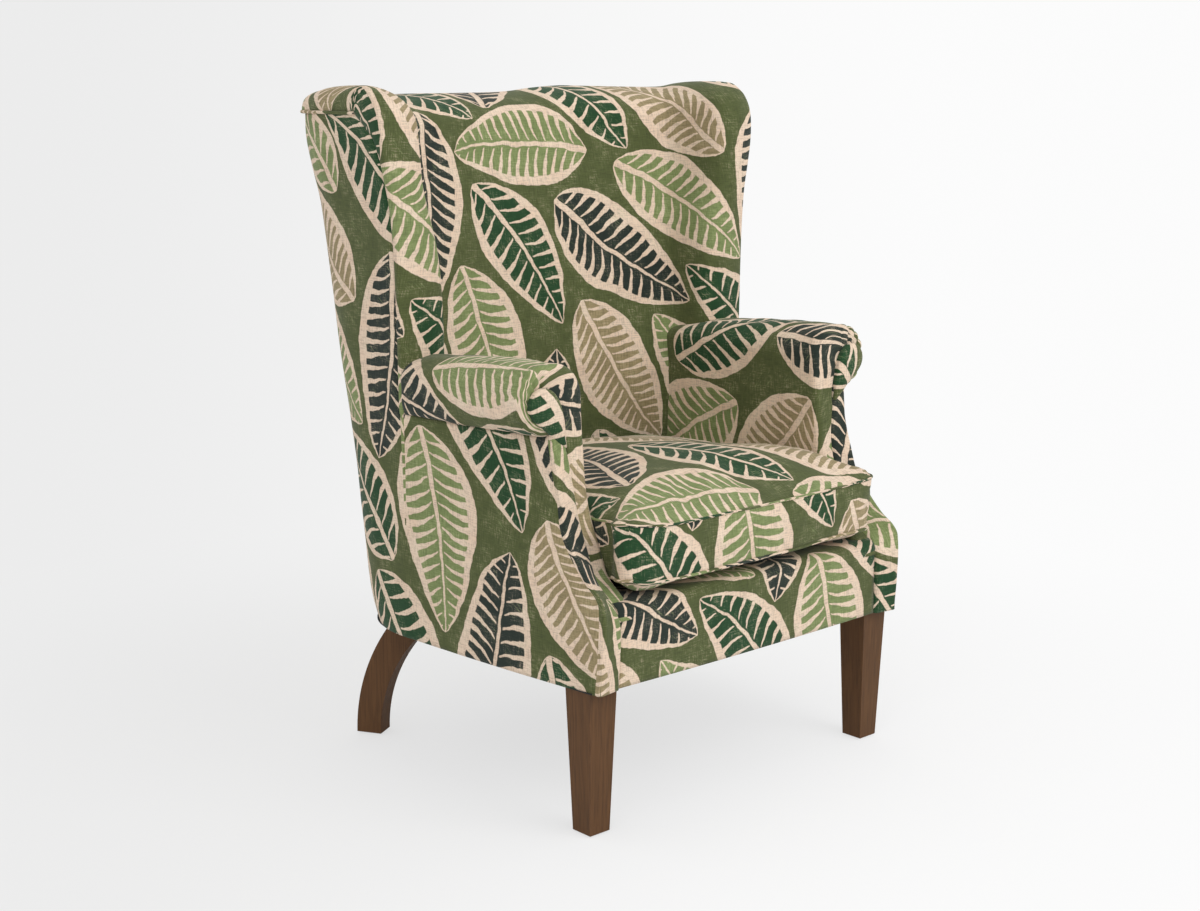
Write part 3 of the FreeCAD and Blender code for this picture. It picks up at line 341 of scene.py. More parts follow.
finishes = {
    "printed_linen": linen("printed linen"),
    "leg_wood": stainedWood("stained legs", shade(86, 58, 33), shade(98, 67, 39)),
    "frame_wood": stainedWood("sawn beech", shade(178, 140, 96), shade(214, 182, 138)),
    "steel": brushedSteel("plated steel"),
    "nylon": plainCloth("moulded nylon", (0.035, 0.03, 0.027, 1), 300, 0.5),
    "webbing": plainCloth("jute webbing", shade(176, 148, 104), 900),
    "black_cloth": plainCloth("black lining", (0.03, 0.03, 0.03, 1), 1400),
    "foam": plainCloth("foam and wadding", shade(232, 222, 190), 500),
}
slots = {row["node"]: row["material_slot"] for row in frame["record"]["subparts"]}
for node, shape in frame["nodes"].items():
    shape.data.materials.clear()
    shape.data.materials.append(finishes[slots[node]])
print("finishes made")


# a cloth panel: place(u, v) gives its points in mm, its print is laid from the anchor outwards,
# cut shifts the print, and flat names the two axes of a print that is laid straight through
def panel(name, columns, rows, place, keep=None, anchor=(0.5, 0.5), cut=(0, 0), wall=3.0, closed=False,
          body="chair", flat=None):
    cloth = bmesh.new()
    bmesh.ops.create_grid(cloth, x_segments=columns, y_segments=rows, size=0.5)
    layer = cloth.loops.layers.uv.new("cloth")
    grid = {}
    for point in cloth.verts:
        i, j = round((point.co.x + 0.5) * columns), round((point.co.y + 0.5) * rows)
        grid[i, j] = point
        point.co = spot(*place(i / columns, j / rows))
    middle, level = round(anchor[0] * columns), round(anchor[1] * rows)
    sides, rises = {}, {}
    for j in range(rows + 1):
        sides[middle, j] = 0
        for i in range(middle, columns):
            sides[i + 1, j] = sides[i, j] + (grid[i + 1, j].co - grid[i, j].co).length
        for i in range(middle, 0, -1):
            sides[i - 1, j] = sides[i, j] - (grid[i - 1, j].co - grid[i, j].co).length
    for i in range(columns + 1):
        rises[i, level] = 0
        for j in range(level, rows):
            rises[i, j + 1] = rises[i, j] + (grid[i, j + 1].co - grid[i, j].co).length
        for j in range(level, 0, -1):
            rises[i, j - 1] = rises[i, j] - (grid[i, j - 1].co - grid[i, j].co).length
    where = {point: key for key, point in grid.items()}
    for face in cloth.faces:
        for corner in face.loops:
            a, b = sides[where[corner.vert]], rises[where[corner.vert]]
            if flat:
                a, b = (corner.vert.co[k] for k in flat)
            corner[layer].uv = (a + cut[0], b + cut[1])
    if keep:
        loose = []
        for face in cloth.faces:
            u = sum(where[point][0] for point in face.verts) / 4 / columns
            v = sum(where[point][1] for point in face.verts) / 4 / rows
            if not keep(u, v):
                loose.append(face)
        bmesh.ops.delete(cloth, geom=loose, context="FACES")
    if closed or flat:
        bmesh.ops.remove_doubles(cloth, verts=cloth.verts, dist=0.00002)
    if closed:
        bmesh.ops.recalc_face_normals(cloth, faces=cloth.faces)
    return made(name, cloth, wall, body)


# the finished object of a mesh: wall is its thickness in mm
def made(name, shape, wall, body, finish="printed_linen"):
    mesh = bpy.data.meshes.new(name)
    shape.to_mesh(mesh)
    shape.free()
    mesh.shade_smooth()
    mesh.materials.append(finishes[finish])
    piece = bpy.data.objects.new(name, mesh)
    scene.collection.objects.link(piece)
    if wall:
        thick = piece.modifiers.new("thickness", "SOLIDIFY")
        thick.thickness, thick.offset = wall / 1000, -1
    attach(piece, body)
    return piece


# a round piping or welt along points
def piping(name, points, radius, loop=False, body="chair", cut=(0, 0)):
    count = len(points)
    steps = count if loop else count - 1

    def place(u, v):
        n = round(u * steps)
        here = Vector(points[n % count])
        ahead = Vector(points[(n + 1) % count] if loop else points[min(n + 1, steps)])
        behind = Vector(points[(n - 1) % count] if loop else points[max(n - 1, 0)])
        way = (ahead - behind).normalized()
        side = way.cross(Vector((0, 0, 1)))
        side = side.normalized() if side.length > 0.2 else way.cross(Vector((0, 1, 0))).normalized()
        up = side.cross(way)
        size = radius if loop or 0 < n < steps else 0
        angle = 2 * math.pi * v
        return here + (side * math.cos(angle) + up * math.sin(angle)) * size
    return panel(name, steps, 8, place, wall=0, closed=True, cut=cut, body=body)


# outside of the chair; lists are (height, value), all in mm from the middle and the front feet
outside = {
    "hem": 212, "armUnder": 549, "top": 973, "wingSeam": 361, "bend": 379,
    "bulge": 4, "tuck": 2, "tuckShare": 0.03, "tuckRun": 12, "crown": 2,
    "corner": [(212, 148), (245, 138), (300, 130), (930, 130), (975, 134)],
    "half": [(212, 342), (549, 349), (640, 350), (770, 352.5), (839, 357.5), (888, 366.5), (937, 374.5),
             (975, 374.5)],
    "rear": [(212, 531), (236, 537), (260, 541), (300, 544), (350, 549), (400, 555), (450, 560),
             (500, 568), (550, 577), (600, 588), (650, 597), (700, 604), (750, 612), (800, 618),
             (850, 622), (900, 627), (950, 631), (975, 633)],
    "seam": [(549, 361), (888, 363), (932, 370), (946, 380), (960, 396), (975, 417)],
    "armShare": 0.4, "columns": 60, "rowsLow": 56, "rowsHigh": 36,
}
# how far back the arm's front lies, at its outer and its inner edge
armEdge = [(212, -28), (219, -28), (261, -31), (333, -31), (348, -21), (362, 0), (390, 28), (420, 51),
           (460, 63), (490, 72), (513, 77), (560, 82), (650, 85)]
armInner = [(212, -22), (300, -22), (325, -8), (353, 27), (376, 39), (402, 51), (434, 65), (475, 75),
            (517, 79), (560, 83), (650, 86)]
facing = {
    "outer": [(212, 310.5), (400, 304.5), (462, 300), (502, 299), (526, 300), (552, 301)],
    "inner": [(212, 268), (350, 266), (462, 265), (501, 269), (534, 275), (552, 277)],
    "proud": [(212, 0.5), (240, 1), (300, 2.2), (552, 3.5)],
    "top": 552, "return": 14, "rim": 6, "soft": 3.5, "postSlack": 4, "postBack": 6,
}


def sidePoint(u, z, side):
    half = along(outside["half"], z)
    rear = along(outside["rear"], z)
    corner = along(outside["corner"], z)
    split = outside["armShare"]
    if u < split and z <= outside["armUnder"]:
        t = u / split
        start, front = along(armEdge, z) + 1, along(facing["outer"], z)
        y = start + (outside["wingSeam"] - start) * t
        share = (y - start) / (outside["bend"] - start)
        x = front + (half - front) * share + outside["bulge"] * math.sin(math.pi * share)
        x -= outside["tuck"] * (1 - ease(t / outside["tuckShare"]))
    else:
        seam = along(outside["seam"], z) if z > outside["armUnder"] else outside["wingSeam"]
        straight = max(rear - corner - seam, 1)
        arc = corner * math.pi / 2
        run = (max(u, split) - split) / (1 - split) * (straight + arc)
        if run < straight:
            x, y = half, seam + run
            x -= outside["tuck"] * ease(1 - run / outside["tuckRun"]) * (z > outside["armUnder"])
        else:
            angle = (run - straight) / corner
            x = half - corner + corner * math.cos(angle)
            y = rear - corner + corner * math.sin(angle)
    return side * x, y, z


def outsideSide(side, name, cut):
    low, high = outside["rowsLow"], outside["rowsHigh"]
    rows = low + high

    def level(v):
        n = round(v * rows)
        if n <= low:
            return outside["hem"] + (outside["armUnder"] - outside["hem"]) * n / low
        return outside["armUnder"] + (outside["top"] - outside["armUnder"]) * (n - low) / high

    def place(u, v):
        return sidePoint(u if side > 0 else 1 - u, level(v), side)

    def keep(u, v):
        return v * rows < low or (u if side > 0 else 1 - u) > outside["armShare"]
    return panel(name, outside["columns"], rows, place, keep, anchor=(0.6, 0), cut=cut)


def outsideBack(u, v):
    z = outside["hem"] + (outside["top"] - outside["hem"]) * v
    half = along(outside["half"], z) - along(outside["corner"], z)
    crown = outside["crown"] * (1 - (2 * u - 1) ** 2) * math.sin(math.pi * v)
    return half * (1 - 2 * u), along(outside["rear"], z) + crown, z


leftSide = outsideSide(-1, "sideCoverLeft", (0.11, 0.05))
rightSide = outsideSide(1, "sideCoverRight", (0.41, 0.33))
backCover = panel("backCover", 40, 60, outsideBack, anchor=(0.5, 0), cut=(0.2, 0.48))
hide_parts("outside_side_left")
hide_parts("outside_side_right")
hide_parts("outside_back")
print("outside covers made")

# arms
arm = {
    "inner": 238, "outer": 353, "mid": 598, "crest": (285, 306), "under": 549, "deck": 306, "start": 90,
    "underSeam": 303, "arc": 74, "flat": 21, "belly": 77, "sideStart": 79, "sideRun": 282,
    "sideLeast": 0.04, "columns": 150, "rows": 96,
    "pleats": [(0.70, 0.008, 1.4), (0.745, 0.007, 3.2), (0.778, 0.006, 3.8), (0.806, 0.008, 3.0),
               (0.842, 0.006, 3.6), (0.874, 0.009, 2.4), (0.915, 0.007, 3.0), (0.955, 0.008, 2.0)],
    "top": [(85, 646.5), (200, 643), (300, 635), (400, 626), (430, 624)],
    "disc": (306, 587, 16), "roll": 11, "wrap": 0.24, "rear": 430, "spread": 1.15,
    "facingMiddle": 273, "facingEnd": 270, "facingJoin": (540, 600),
    "outward": (245, 305),  # where the front turns from the inner edge to the outer one
    "tuck": 9, "wingTuck": 70, "wingSide": (262, 282), "wingFront": (343, 360), "pleatFade": 42,
    "creases": [(9, 0.004, 0.5), (14, -0.009, 0.35), (5, 0.016, 0.45)], "creaseSide": (0.5, 0.6),
}
# fine ripples in the end of the roll
ripple = {"height": 1.5, "across": (255, 285), "below": (604, 579), "depth": (4, 10), "pitch": 0.9}


# cross-section of the arm: up the inside, over the roll and under it to the seam at end
def armSection(u, y, end):
    top = along(arm["top"], y)
    inner, outer, mid, arc = arm["inner"], arm["outer"], arm["mid"], arm["arc"]
    a, b = arm["crest"]
    wall = mid - arm["deck"]
    run = u * (wall + 2 * arc + arm["flat"] + arm["belly"])
    if run < wall:
        return inner, arm["deck"] + run
    run -= wall
    if run < arc:
        t = run / arc * math.pi / 2
        return a - (a - inner) * math.cos(t), mid + (top - mid) * math.sin(t)
    run -= arc
    if run < arm["flat"]:
        return a + run, top + 0.6 * math.sin(math.pi * run / arm["flat"])
    run -= arm["flat"]
    if run < arc:
        t = run / arc * math.pi / 2
        return b + (outer - b) * math.sin(t), mid + (top - mid) * math.cos(t)
    t = (run - arc) / arm["belly"] * math.pi / 2
    return end + (outer - end) * math.cos(t), mid - (mid - arm["under"]) * math.sin(t)


def armPoint(u, v, side):
    x0, z0 = armSection(u, arm["start"], arm["underSeam"])
    outward = ramp(x0, arm["outward"])
    front = along(armInner, z0) * (1 - outward) + outward * max(along(armEdge, z0), arm["sideStart"])
    roll, wrap, pleat = arm["roll"], arm["wrap"], bumps(arm["pleats"], u)
    bend = roll * math.pi / 2
    if v < wrap:
        start, centre = Vector((x0, z0)), Vector(arm["disc"][:2])
        goal = centre + (start - centre).normalized() * arm["disc"][2]
        if x0 < arm["facingEnd"]:
            goal = goal.lerp(Vector((arm["facingMiddle"], z0)), 1 - ramp(z0, arm["facingJoin"]))
        way = goal - start
        length = way.length
        way /= length
        path = (1 - v / wrap) * (length - roll + bend)
        if path < bend:
            depth, y = roll * (1 - math.cos(path / roll)), front + roll * (1 - math.sin(path / roll))
        else:
            depth, y = roll + path - bend, front
        edge = min(depth / roll, 1)
        high = ripple["height"] * ramp(x0, ripple["across"]) * ramp(z0, ripple["below"])
        high *= ramp(depth, ripple["depth"])
        x, z = start + way * (depth + pleat * (1 - edge))
        return side * x, y + pleat * (0.4 + 0.6 * edge) + high * math.sin(depth * ripple["pitch"]), z
    t = ((v - wrap) / (1 - wrap)) ** arm["spread"]
    rear = arm["rear"] - arm["wingTuck"] * ramp(x0, arm["wingSide"])
    y = front + roll + (rear - front - roll) * t
    share = min(max((y - arm["sideStart"]) / arm["sideRun"], arm["sideLeast"]), 1)
    x, z = armSection(u, y, sidePoint(outside["armShare"] * share, arm["under"], 1)[0])
    tuck = arm["tuck"] * ramp(y, arm["wingFront"]) ** 2 * ramp(x, arm["wingSide"])
    away = Vector((x - arm["crest"][1], z - arm["mid"])).normalized()
    crease = creases(arm["creases"], u, y) * ramp(u, arm["creaseSide"])
    dent = pleat * math.exp(-(y - front - roll) / arm["pleatFade"]) + tuck + crease
    return side * (x - away.x * dent), y, z - away.y * dent


def armPad(side, name, cut):
    return panel(name, arm["columns"], arm["rows"],
                 lambda u, v: armPoint(1 - u if side < 0 else u, v, side), anchor=(0.5, 0.3), cut=cut)


leftArm = armPad(-1, "armCoverLeft", (0.33, 0.2))
rightArm = armPad(1, "armCoverRight", (0.05, 0.56))
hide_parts("arm_pad_left")
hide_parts("arm_pad_right")


def facingPoint(u, v, side):
    z = outside["hem"] + (facing["top"] - outside["hem"]) * v
    inner, outer = along(facing["inner"], z), along(facing["outer"], z)
    width, back = outer - inner, facing["return"]
    path = u * (width + 2 * back) - back
    x = inner + min(max(path, 0), width)
    share = (x - inner) / width
    y = along(armInner, z) * (1 - share) + along(armEdge, z) * share - along(facing["proud"], z)
    y += max(-path, path - width, 0)
    rim = max(min(path, width - path), 0)
    return side * x, y + facing["soft"] * (1 - min(rim / facing["rim"], 1)) ** 2, z


def armFacing(side, name, cut):
    return panel(name, 32, 110, lambda u, v: facingPoint(1 - u if side < 0 else u, v, side),
                 anchor=(0.5, 0), cut=cut, wall=2)


# the upright behind each facing, a little slimmer than its cover
def frontPost(node, name):
    post = bmesh.new()
    post.from_mesh(frame["nodes"][node].data)
    bmesh.ops.remove_doubles(post, verts=post.verts, dist=0.00001)
    for point in post.verts:
        z = point.co.z * 1000
        width = min(abs(point.co.x) * 1000, along(facing["outer"], z) - facing["postSlack"])
        front = max(along(armInner, z), along(armEdge, z)) + facing["postBack"]
        point.co = spot(math.copysign(width, point.co.x), max(point.co.y * 1000 + setBack, front), z)
    piece = made(name, post, 0, "chair", "frame_wood")
    piece.data.shade_flat()
    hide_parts(node)


frontPost("arm_post_left", "frontPostLeft")
frontPost("arm_post_right", "frontPostRight")

leftFacing = armFacing(-1, "facingLeft", (0.52, 0.14))
rightFacing = armFacing(1, "facingRight", (0.27, 0.41))
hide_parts("arm_facing_left")
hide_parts("arm_facing_right")

# padded end of the arm roll, sewn over the top of the facing
scroll = {
    "rim": [(276, 532), (277, 545), (278, 558), (279.5, 571), (282.5, 584), (288, 598), (296, 609),
            (306, 615.5), (318, 617), (329, 612.5), (336.5, 604), (339.5, 594), (337, 583), (328, 572),
            (315, 562), (302, 552), (290, 541)],
    "centre": (307, 588), "base": 77.5, "dome": 6.5, "domePowers": (3.2, 0.8), "face": 0.7, "edge": 7,
    "columns": 68, "rows": 20,
}


def scrollPoint(u, v, side):
    rim = scroll["rim"]
    count = len(rim)
    loop = rim[-2:] + rim + rim[:3]
    f = (u * count) % count + 2
    edge = thread([(x, z, 0) for x, z in loop], f)
    centre = Vector((*scroll["centre"], 0))
    face = scroll["face"]
    reach = min(v / face, 1)
    here = centre.lerp(edge, reach)
    flat, full = scroll["domePowers"]
    proud = scroll["dome"] * (1 - reach ** flat) ** full
    return side * here.x, scroll["base"] - proud + max(v - face, 0) / (1 - face) * scroll["edge"], here.y


def scrollPad(side, name, cut):
    return panel(name, scroll["columns"], scroll["rows"],
                 lambda u, v: scrollPoint(u if side > 0 else 1 - u, v, side), cut=cut, wall=2,
                 flat=(0, 2))


scrollPad(-1, "armScrollLeft", (0.62, 0.55))
scrollPad(1, "armScrollRight", (0.47, 0.31))
print("arms made")

# inside back, wings and the roll over the top, in one cover, which bends back at bend and ends at foot
inside = {
    "depth": [(308, 386), (318, 390), (328, 424), (340, 446), (560, 446), (640, 459), (770, 484),
              (945, 521)],
    "hollow": 30, "seat": 238, "outer": 374, "low": 308, "bend": 945, "foot": 974,
    "rowsLow": 66, "rowsHigh": 26, "columns": 192, "stops": 17,
    "wingIn": [(330, 262), (650, 262), (770, 270), (875, 295), (945, 300)],
    "nose": [(330, 349), (900, 349), (945, 351)],
    "crest": [(-374, 1010), (-345, 1012), (-300, 1009), (-240, 1001), (-190, 997), (0, 997), (60, 999),
              (100, 1004), (160, 1009), (225, 1013), (300, 1015), (345, 1015), (374, 1012)],
    "drop": (11, 1.1, 10), "lower": 3, "ears": 3.2, "earPower": 0.6, "rollPowers": (0.9, 0.82),
    "gathers": [(0.5, 0.16, 1.6), (1.1, 0.18, 2.6), (1.8, 0.2, 3.0), (2.5, 0.2, 2.4), (3.3, 0.25, 2.4),
                (4.3, 0.3, 1.4)],
    "creases": [(7, 0.006, 0.6), (11, -0.013, 0.4), (3, 0.021, 0.6)],
    "creaseAcross": (5, 8), "creaseAbove": (420, 480),
}


def backAt(x, z):
    return along(inside["depth"], z) - inside["hollow"] * (x / inside["seat"]) ** 2


# one level of the cover, from its seam at the outside round the wing to the middle of the back;
# the bare numbers are steps in mm from the traced lines
def innerLine(z):
    half = along(outside["half"], z)
    seam = along(outside["seam"], z)
    face = along(inside["nose"], z)
    inner = along(inside["wingIn"], z)
    start, corner = face + 34, backAt(inner - 10, z)
    return [
        (half - 1.5, seam), (half - 1, (seam + face) / 2), (half - 5, face + 2.5),
        (half - 22, face - 1.5), ((half + inner) / 2, face - 3), (inner + 24, face - 1),
        (inner + 9, face + 5), (inner + 1, face + 17), (inner - 3, start),
        (inner - 6, (start + corner) / 2 - 4), (inner - 12, corner - 14), (inner - 26, corner - 3),
        *((x, backAt(x, z)) for x in (200, 150, 100, 50, 0)),
    ]


# the seam of the same cover at the top of the outside
def outerLine():
    half, rear = inside["outer"], along(outside["rear"], outside["top"] + 2)
    corner = along(outside["corner"], inside["foot"])
    spots = [(half, y) for y in (417, 418.5, 421, 425, 432, 441, 450, 458, 466, 482)]
    for turn in (15, 38):
        c, s = math.cos(math.radians(turn)), math.sin(math.radians(turn))
        spots.append((half - corner + corner * c, rear - corner + corner * s))
    return spots + [(205, rear), (150, rear + 1), (100, rear + 1.5), (50, rear + 2), (0, rear + 2)]


def insidePoint(u, v):
    last = inside["stops"] - 1
    f = (1 - abs(2 * u - 1)) * last
    side = -1 if u < 0.5 else 1
    low, high, bend, foot = inside["rowsLow"], inside["rowsHigh"], inside["bend"], inside["foot"]
    n = v * (low + high)
    if n <= low:
        z = inside["low"] + (bend - inside["low"]) * n / low
        x, y = thread(innerLine(z), f)
        soft = ramp(f, inside["creaseAcross"]) * ramp(z, inside["creaseAbove"])
        return side * x, y + soft * creases(inside["creases"], side * f / last, z), z
    a = math.pi * (n - low) / high
    x0, y0 = thread(innerLine(bend), f)
    x1, y1 = thread(outerLine(), f)
    c, s = math.cos(a), math.sin(a)
    over, up = inside["rollPowers"]
    h = 0.5 * (1 - math.copysign(abs(c) ** over, c))
    crest = along(inside["crest"], side * 0.5 * (x0 + x1)) - inside["lower"]
    crest -= bumps([inside["drop"]], f)
    x, y = x0 + (x1 - x0) * h, y0 + (y1 - y0) * h
    full = math.sin(math.pi / 2 * min(f / inside["ears"], 1)) ** inside["earPower"]
    gather = ease(h * 1.4 - 0.2) * bumps(inside["gathers"], f)
    z = bend + (foot - bend) * h + (crest - (bend + foot) / 2) * abs(s) ** up * full
    return side * (x - gather * 0.7), y, z - gather * 0.6


innerCover = panel("insideCover", inside["columns"], inside["rowsLow"] + inside["rowsHigh"], insidePoint,
                   anchor=(0.5, 0.4), cut=(0.3, 0.3))
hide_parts("inside_back", "wing_pad_left", "wing_pad_right")
print("inside cover made")

# border under the cushion
border = {"half": 268, "front": -23, "bow": 5, "top": 329, "roll": 16, "arc": 25.12, "flap": 70,
          "drop": 4, "dropRun": (45, 85)}


def borderPoint(u, v):
    x = border["half"] * (2 * u - 1)
    front = border["front"] + border["bow"] * (x / border["half"]) ** 2
    roll, arc, top = border["roll"], border["arc"], border["top"]
    rise = top - roll - outside["hem"]
    run = v * (rise + arc + border["flap"])
    if run < rise:
        return x, front, outside["hem"] + run
    run -= rise
    if run < arc:
        t = run / roll
        return x, front + roll * (1 - math.cos(t)), top - roll + roll * math.sin(t)
    return x, front + roll + run - arc, top - border["drop"] * ramp(run, border["dropRun"])


frontCover = panel("frontBorder", 60, 30, borderPoint, anchor=(0.5, 0), cut=(0.02, 0.25))
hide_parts("front_border")

# loose seat cushion; lists go by x or by y in mm
cushion = {
    "low": 351, "high": 428, "crown": 45, "belly": 15, "corner": 28, "cells": 60, "sides": 10,
    "side": 236, "front": 31, "back": 424, "rim": 34, "bellyEdge": 9,
    "bow": 3, "bowRun": (60, -30), "hollow": 26, "hollowRun": (60, 424),
    "flare": (6, 4.5), "flareRun": (34, -11), "liftFrom": 0.55, "rearRun": (70, 260),
    "half": [(-31, 243), (-15, 248), (0, 248), (20, 240), (60, 236.5), (100, 235), (300, 235),
             (380, 237), (424, 236)],
    "rise": [(-31, 0.0), (-20, 0.22), (0, 0.47), (40, 0.80), (80, 0.94), (130, 1.0), (200, 1.0),
             (300, 0.86), (370, 0.64), (400, 0.50), (416, 0.34), (424, 0.0)],
    "fallRear": [(-236, 0.56), (-225, 0.50), (-160, 0.26), (-100, 0.10), (0, 0), (60, 0.06), (100, 0.18),
                 (160, 0.42), (225, 0.72), (236, 0.78)],
    "fallFront": [(-236, 0.56), (-225, 0.50), (-160, 0.26), (-100, 0.10), (0, 0), (100, 0.03),
                  (160, 0.10), (225, 0.22), (236, 0.28)],
    "liftTop": [(-236, 10), (-215, 7), (-180, 2), (-150, 0), (150, 0), (215, 2), (236, 2)],
    "liftLow": [(-236, 8), (-225, 5), (-200, 1.5), (-170, 0), (60, 0), (140, 3), (236, 2)],
    "ripples": [(7, 3, 1.1), (3, 8, 0.9), (11, -6, 0.6)],
    "growth": 0.008, "pressure": 1, "frames": 20, "limit": 0.006,
}


# seen from above: a and b run from -1 to 1 over the cushion, and c from the low seam to the top one
def cushionPlan(a, b, c):
    size, side, corner = cushion, cushion["side"], cushion["corner"]
    middle, reach = (size["back"] - size["front"]) / 2, (size["back"] + size["front"]) / 2
    x, y = abs(a) * side, abs(b) * reach
    outX, outY = x - side + corner, y - reach + corner
    if outX > 0 and outY > 0:
        pull = max(outX, outY) / math.hypot(outX, outY)
        x, y = side - corner + outX * pull, reach - corner + outY * pull
    y = middle + math.copysign(y, b)
    share = math.copysign(x, a) / side
    flare, more = size["flare"]
    x = share * (along(size["half"], y) + (flare + more * (c + 1)) * ramp(y, size["flareRun"]))
    bow = size["bow"] * ramp(y, size["bowRun"]) - size["hollow"] * ramp(y, size["hollowRun"])
    return x, y + bow * share ** 2


def cushionLevel(a, b, c):
    near = ramp(-b, (cushion["liftFrom"], 1))
    low = cushion["low"] + along(cushion["liftLow"], cushion["side"] * a) * near
    high = cushion["high"] + along(cushion["liftTop"], cushion["side"] * a) * near
    return low + (high - low) * (c + 1) / 2


def cushionPoint(a, b, c):
    size, across = cushion, cushion["side"] * a
    x, y = cushionPlan(a, b, c)
    level = cushionLevel(a, b, c)
    if c >= 0.999:
        gap = size["side"] - abs(across)
        edge = (1 - (1 - min(gap / size["rim"], 1)) ** 2) ** 0.5
        straight = (size["front"] + size["back"]) * (b + 1) / 2 - size["front"]
        rear = ramp(straight, size["rearRun"])
        fall = along(size["fallFront"], across) * (1 - rear) + along(size["fallRear"], across) * rear
        rise = along(size["rise"], straight) * (1 - fall) * edge
        soft = sum(deep * math.sin(p * a + q * b + p) for p, q, deep in size["ripples"])
        return x, y, level + size["crown"] * rise + soft * min(rise * 1.5, 1)
    if c <= -0.999:
        steep = size["bellyEdge"]
        return x, y, level - size["belly"] * min(1, steep * (1 - abs(a))) * min(1, steep * (1 - abs(b)))
    return x, y, level


def uprightEdges(cover):
    return [edge for edge in cover.edges if abs(edge.verts[0].co.z - edge.verts[1].co.z) > 1]


# a cube is cut up, laid with its print and then shaped; the points on its two seams are listed too
def cushionCover():
    cover = bmesh.new()
    bmesh.ops.create_cube(cover, size=2)
    upright = uprightEdges(cover)
    level = [edge for edge in cover.edges if edge not in upright]
    bmesh.ops.subdivide_edges(cover, edges=level, cuts=cushion["cells"], use_grid_fill=True)
    upright = uprightEdges(cover)
    bmesh.ops.subdivide_edges(cover, edges=upright, cuts=cushion["sides"], use_grid_fill=True)
    layer = cover.loops.layers.uv.new("cloth")
    for face in cover.faces:
        way = face.normal
        for corner in face.loops:
            a, b, c = corner.vert.co
            x, y = cushionPlan(a, b, c)
            z = cushion["low"] + (cushion["high"] - cushion["low"]) * (c + 1) / 2
            if abs(way.z) > 0.5:
                place = (x / 1000 + 0.42, y / 1000 + 0.55)
            elif way.y < -0.5:
                place = (x / 1000 + 0.2, z / 1000 - 0.1)
            elif way.y > 0.5:
                place = (1.15 - x / 1000, z / 1000 - 0.1)
            else:
                run = cushion["side"] + y + cushion["front"]
                place = (math.copysign(run, x) / 1000 + 0.2, z / 1000 - 0.1)
            corner[layer].uv = place
    seams = [n for n, point in enumerate(cover.verts)
             if abs(point.co.z) > 0.999 and max(abs(point.co.x), abs(point.co.y)) > 0.999]
    for point in cover.verts:
        point.co = spot(*cushionPoint(*point.co))
    return made("cushionCover", cover, 0, "cushion"), seams


# lets the panels of a closed pad swell and pucker between their pinned seams
def swell(piece, pinned, size):
    before = [point.co.copy() for point in piece.data.vertices]
    seams = piece.vertex_groups.new(name="seams")
    seams.add(pinned, 1, "REPLACE")
    cloth = piece.modifiers.new("swelling", "CLOTH")
    cloth.settings.vertex_group_mass = "seams"
    cloth.settings.use_pressure, cloth.settings.uniform_pressure_force = True, size["pressure"]
    cloth.settings.shrink_min = -size["growth"]
    cloth.settings.effector_weights.gravity = 0
    cloth.point_cache.frame_end = size["frames"]
    for frameNumber in range(1, size["frames"] + 1):
        scene.frame_set(frameNumber)
    puffed = piece.evaluated_get(bpy.context.evaluated_depsgraph_get()).data
    after = [point.co.copy() for point in puffed.vertices]
    piece.modifiers.remove(cloth)
    piece.vertex_groups.remove(seams)
    scene.frame_set(1)
    for point, old, new in zip(piece.data.vertices, before, after):
        move = new - old
        point.co = old + move * min(1, size["limit"] / max(move.length, 1e-9))
    print("swelling done, at most", size["limit"] * 1000, "mm")


seatCushion, seamPoints = cushionCover()
swell(seatCushion, seamPoints, cushion)
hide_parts("cushion_cover", "cushion_core")


# the line of a cushion seam: c is 1 for the top one and -1 for the low one
def ring(c):
    n = cushion["cells"] + 1
    way = [i / n * 2 - 1 for i in range(n)]
    square = [(t, -1) for t in way] + [(1, t) for t in way]
    square += [(-a, -b) for a, b in square]
    return [(*cushionPlan(a, b, c), cushionLevel(a, b, c)) for a, b in square]


piping("cushionPipingTop", ring(1), 1.9, loop=True, body="cushion", cut=(0.1, 0.3))
piping("cushionPipingLow", ring(-1), 2.6, loop=True, body="cushion", cut=(0.3, 0.1))


# welt under the roll at the top
def weltLine():
    spots, count, z = outerLine(), 72, outside["top"] + 0.5
    half = [thread(spots, (len(spots) - 1) * n / count) for n in range(count + 1)]
    return [(-p.x, p.y, z) for p in half] + [(p.x, p.y, z) for p in reversed(half[:-1])]


piping("topWelt", weltLine(), 2.6, cut=(0.2, 0.1))
print("cushion and welts made")

# camera, light and floor
view = {"place": (-1.8916, -2.0804, 1.0314), "down": 11.72, "turn": 42.13, "lens": 55.575, "sensor": 36}
camera = bpy.data.objects.new("camera", bpy.data.cameras.new("camera"))
scene.collection.objects.link(camera)
camera.location = view["place"]
camera.rotation_euler = (math.radians(90 - view["down"]), 0, math.radians(-view["turn"]))
camera.data.lens, camera.data.sensor_width = view["lens"], view["sensor"]
scene.camera = camera

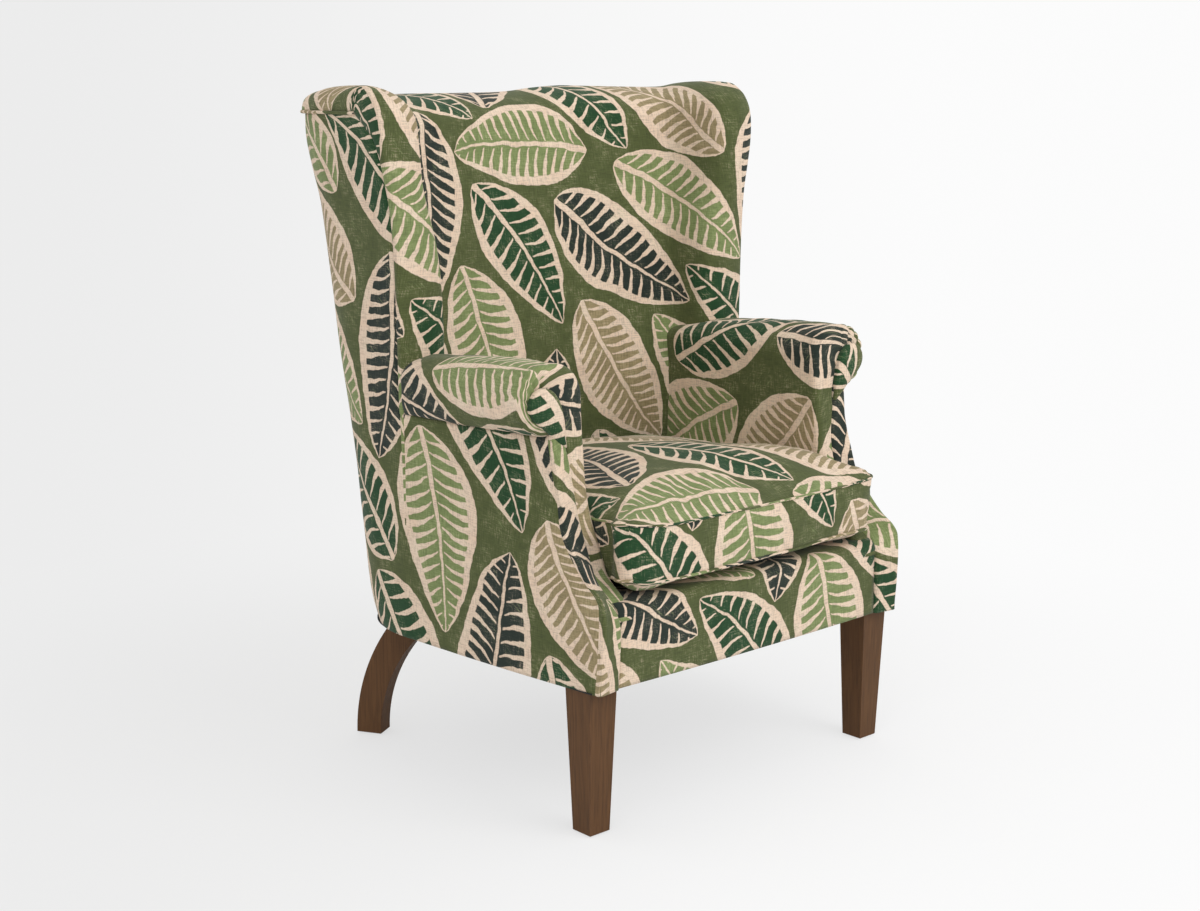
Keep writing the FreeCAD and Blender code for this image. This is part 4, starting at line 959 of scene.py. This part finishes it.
# name, place, size in metres, power in watts
lamps = [
    ("key", (0.7, -2.8, 2.3), 2.4, 37),
    ("fill", (-2.5, -1.7, 2.7), 2.2, 16),
    ("top", (0.1, -0.2, 3.2), 2.0, 4),
]
for name, place, size, power in lamps:
    lamp = bpy.data.lights.new(name, "AREA")
    lamp.shape, lamp.size, lamp.energy = "DISK", size, power
    holder = bpy.data.objects.new(name, lamp)
    holder.location = place
    holder.rotation_euler = (Vector((0, 0, 0.5)) - Vector(place)).to_track_quat("-Z", "Y").to_euler()
    scene.collection.objects.link(holder)

backdrop = {"left": (0.84, 0.84, 0.84, 1), "right": (0.97, 0.97, 0.97, 1), "light": 0.80,
            "floor": (0.86, 0.86, 0.86, 1), "clear": (0.6, 1.5), "shadow": 0.30}


# the paper behind the chair is lit a little more on the right
def paper(recipe):
    window = recipe.node("TexCoord", None, None, 5)
    across = recipe.node("SeparateXYZ", None, {"Vector": window})
    return recipe.blend(across.between(0, 0.8), backdrop["left"], backdrop["right"])


# the camera, mirrors and glass see the paper, and all else is lit by white
scene.world = bpy.data.worlds.new("studio")
sky = Recipe(scene.world)
cameraRay, mirrorRay, glassRay = (sky.node("LightPath", None, None, n) for n in (0, 3, 6))
seen = (cameraRay + mirrorRay + glassRay).maths("MINIMUM", 1)
light = sky.node("Background", None, {"Color": (1, 1, 1, 1), "Strength": backdrop["light"]})
pale = sky.node("Background", None, {"Color": paper(sky)})
sky.node("OutputWorld", None, {"Surface": sky.node("MixShader", None, {0: seen, 1: light, 2: pale})})

# the floor takes shadows near the chair and turns into the paper further out
studioFloor = newRecipe("studio floor")
reach = studioFloor.vector("LENGTH", studioFloor.node("TexCoord", None, None, 3), out=1)
lit = studioFloor.node("BsdfDiffuse", None, {"Color": backdrop["floor"]})
pale = studioFloor.node("Emission", None, {"Color": paper(studioFloor), "Strength": 1})
clear = 1 - backdrop["shadow"] * (1 - reach.between(*backdrop["clear"]))
share = clear * studioFloor.node("LightPath")
mixed = studioFloor.node("MixShader", None, {0: share, 1: lit, 2: pale})
studioFloor.node("OutputMaterial", None, {"Surface": mixed})
ground = bmesh.new()
bmesh.ops.create_circle(ground, cap_ends=True, segments=96, radius=14)
floorMesh = bpy.data.meshes.new("floor")
ground.to_mesh(floorMesh)
ground.free()
floorMesh.materials.append(studioFloor.owner)
floor = bpy.data.objects.new("floor", floorMesh)
scene.collection.objects.link(floor)
scene.view_settings.view_transform = "Standard"
print("studio made")
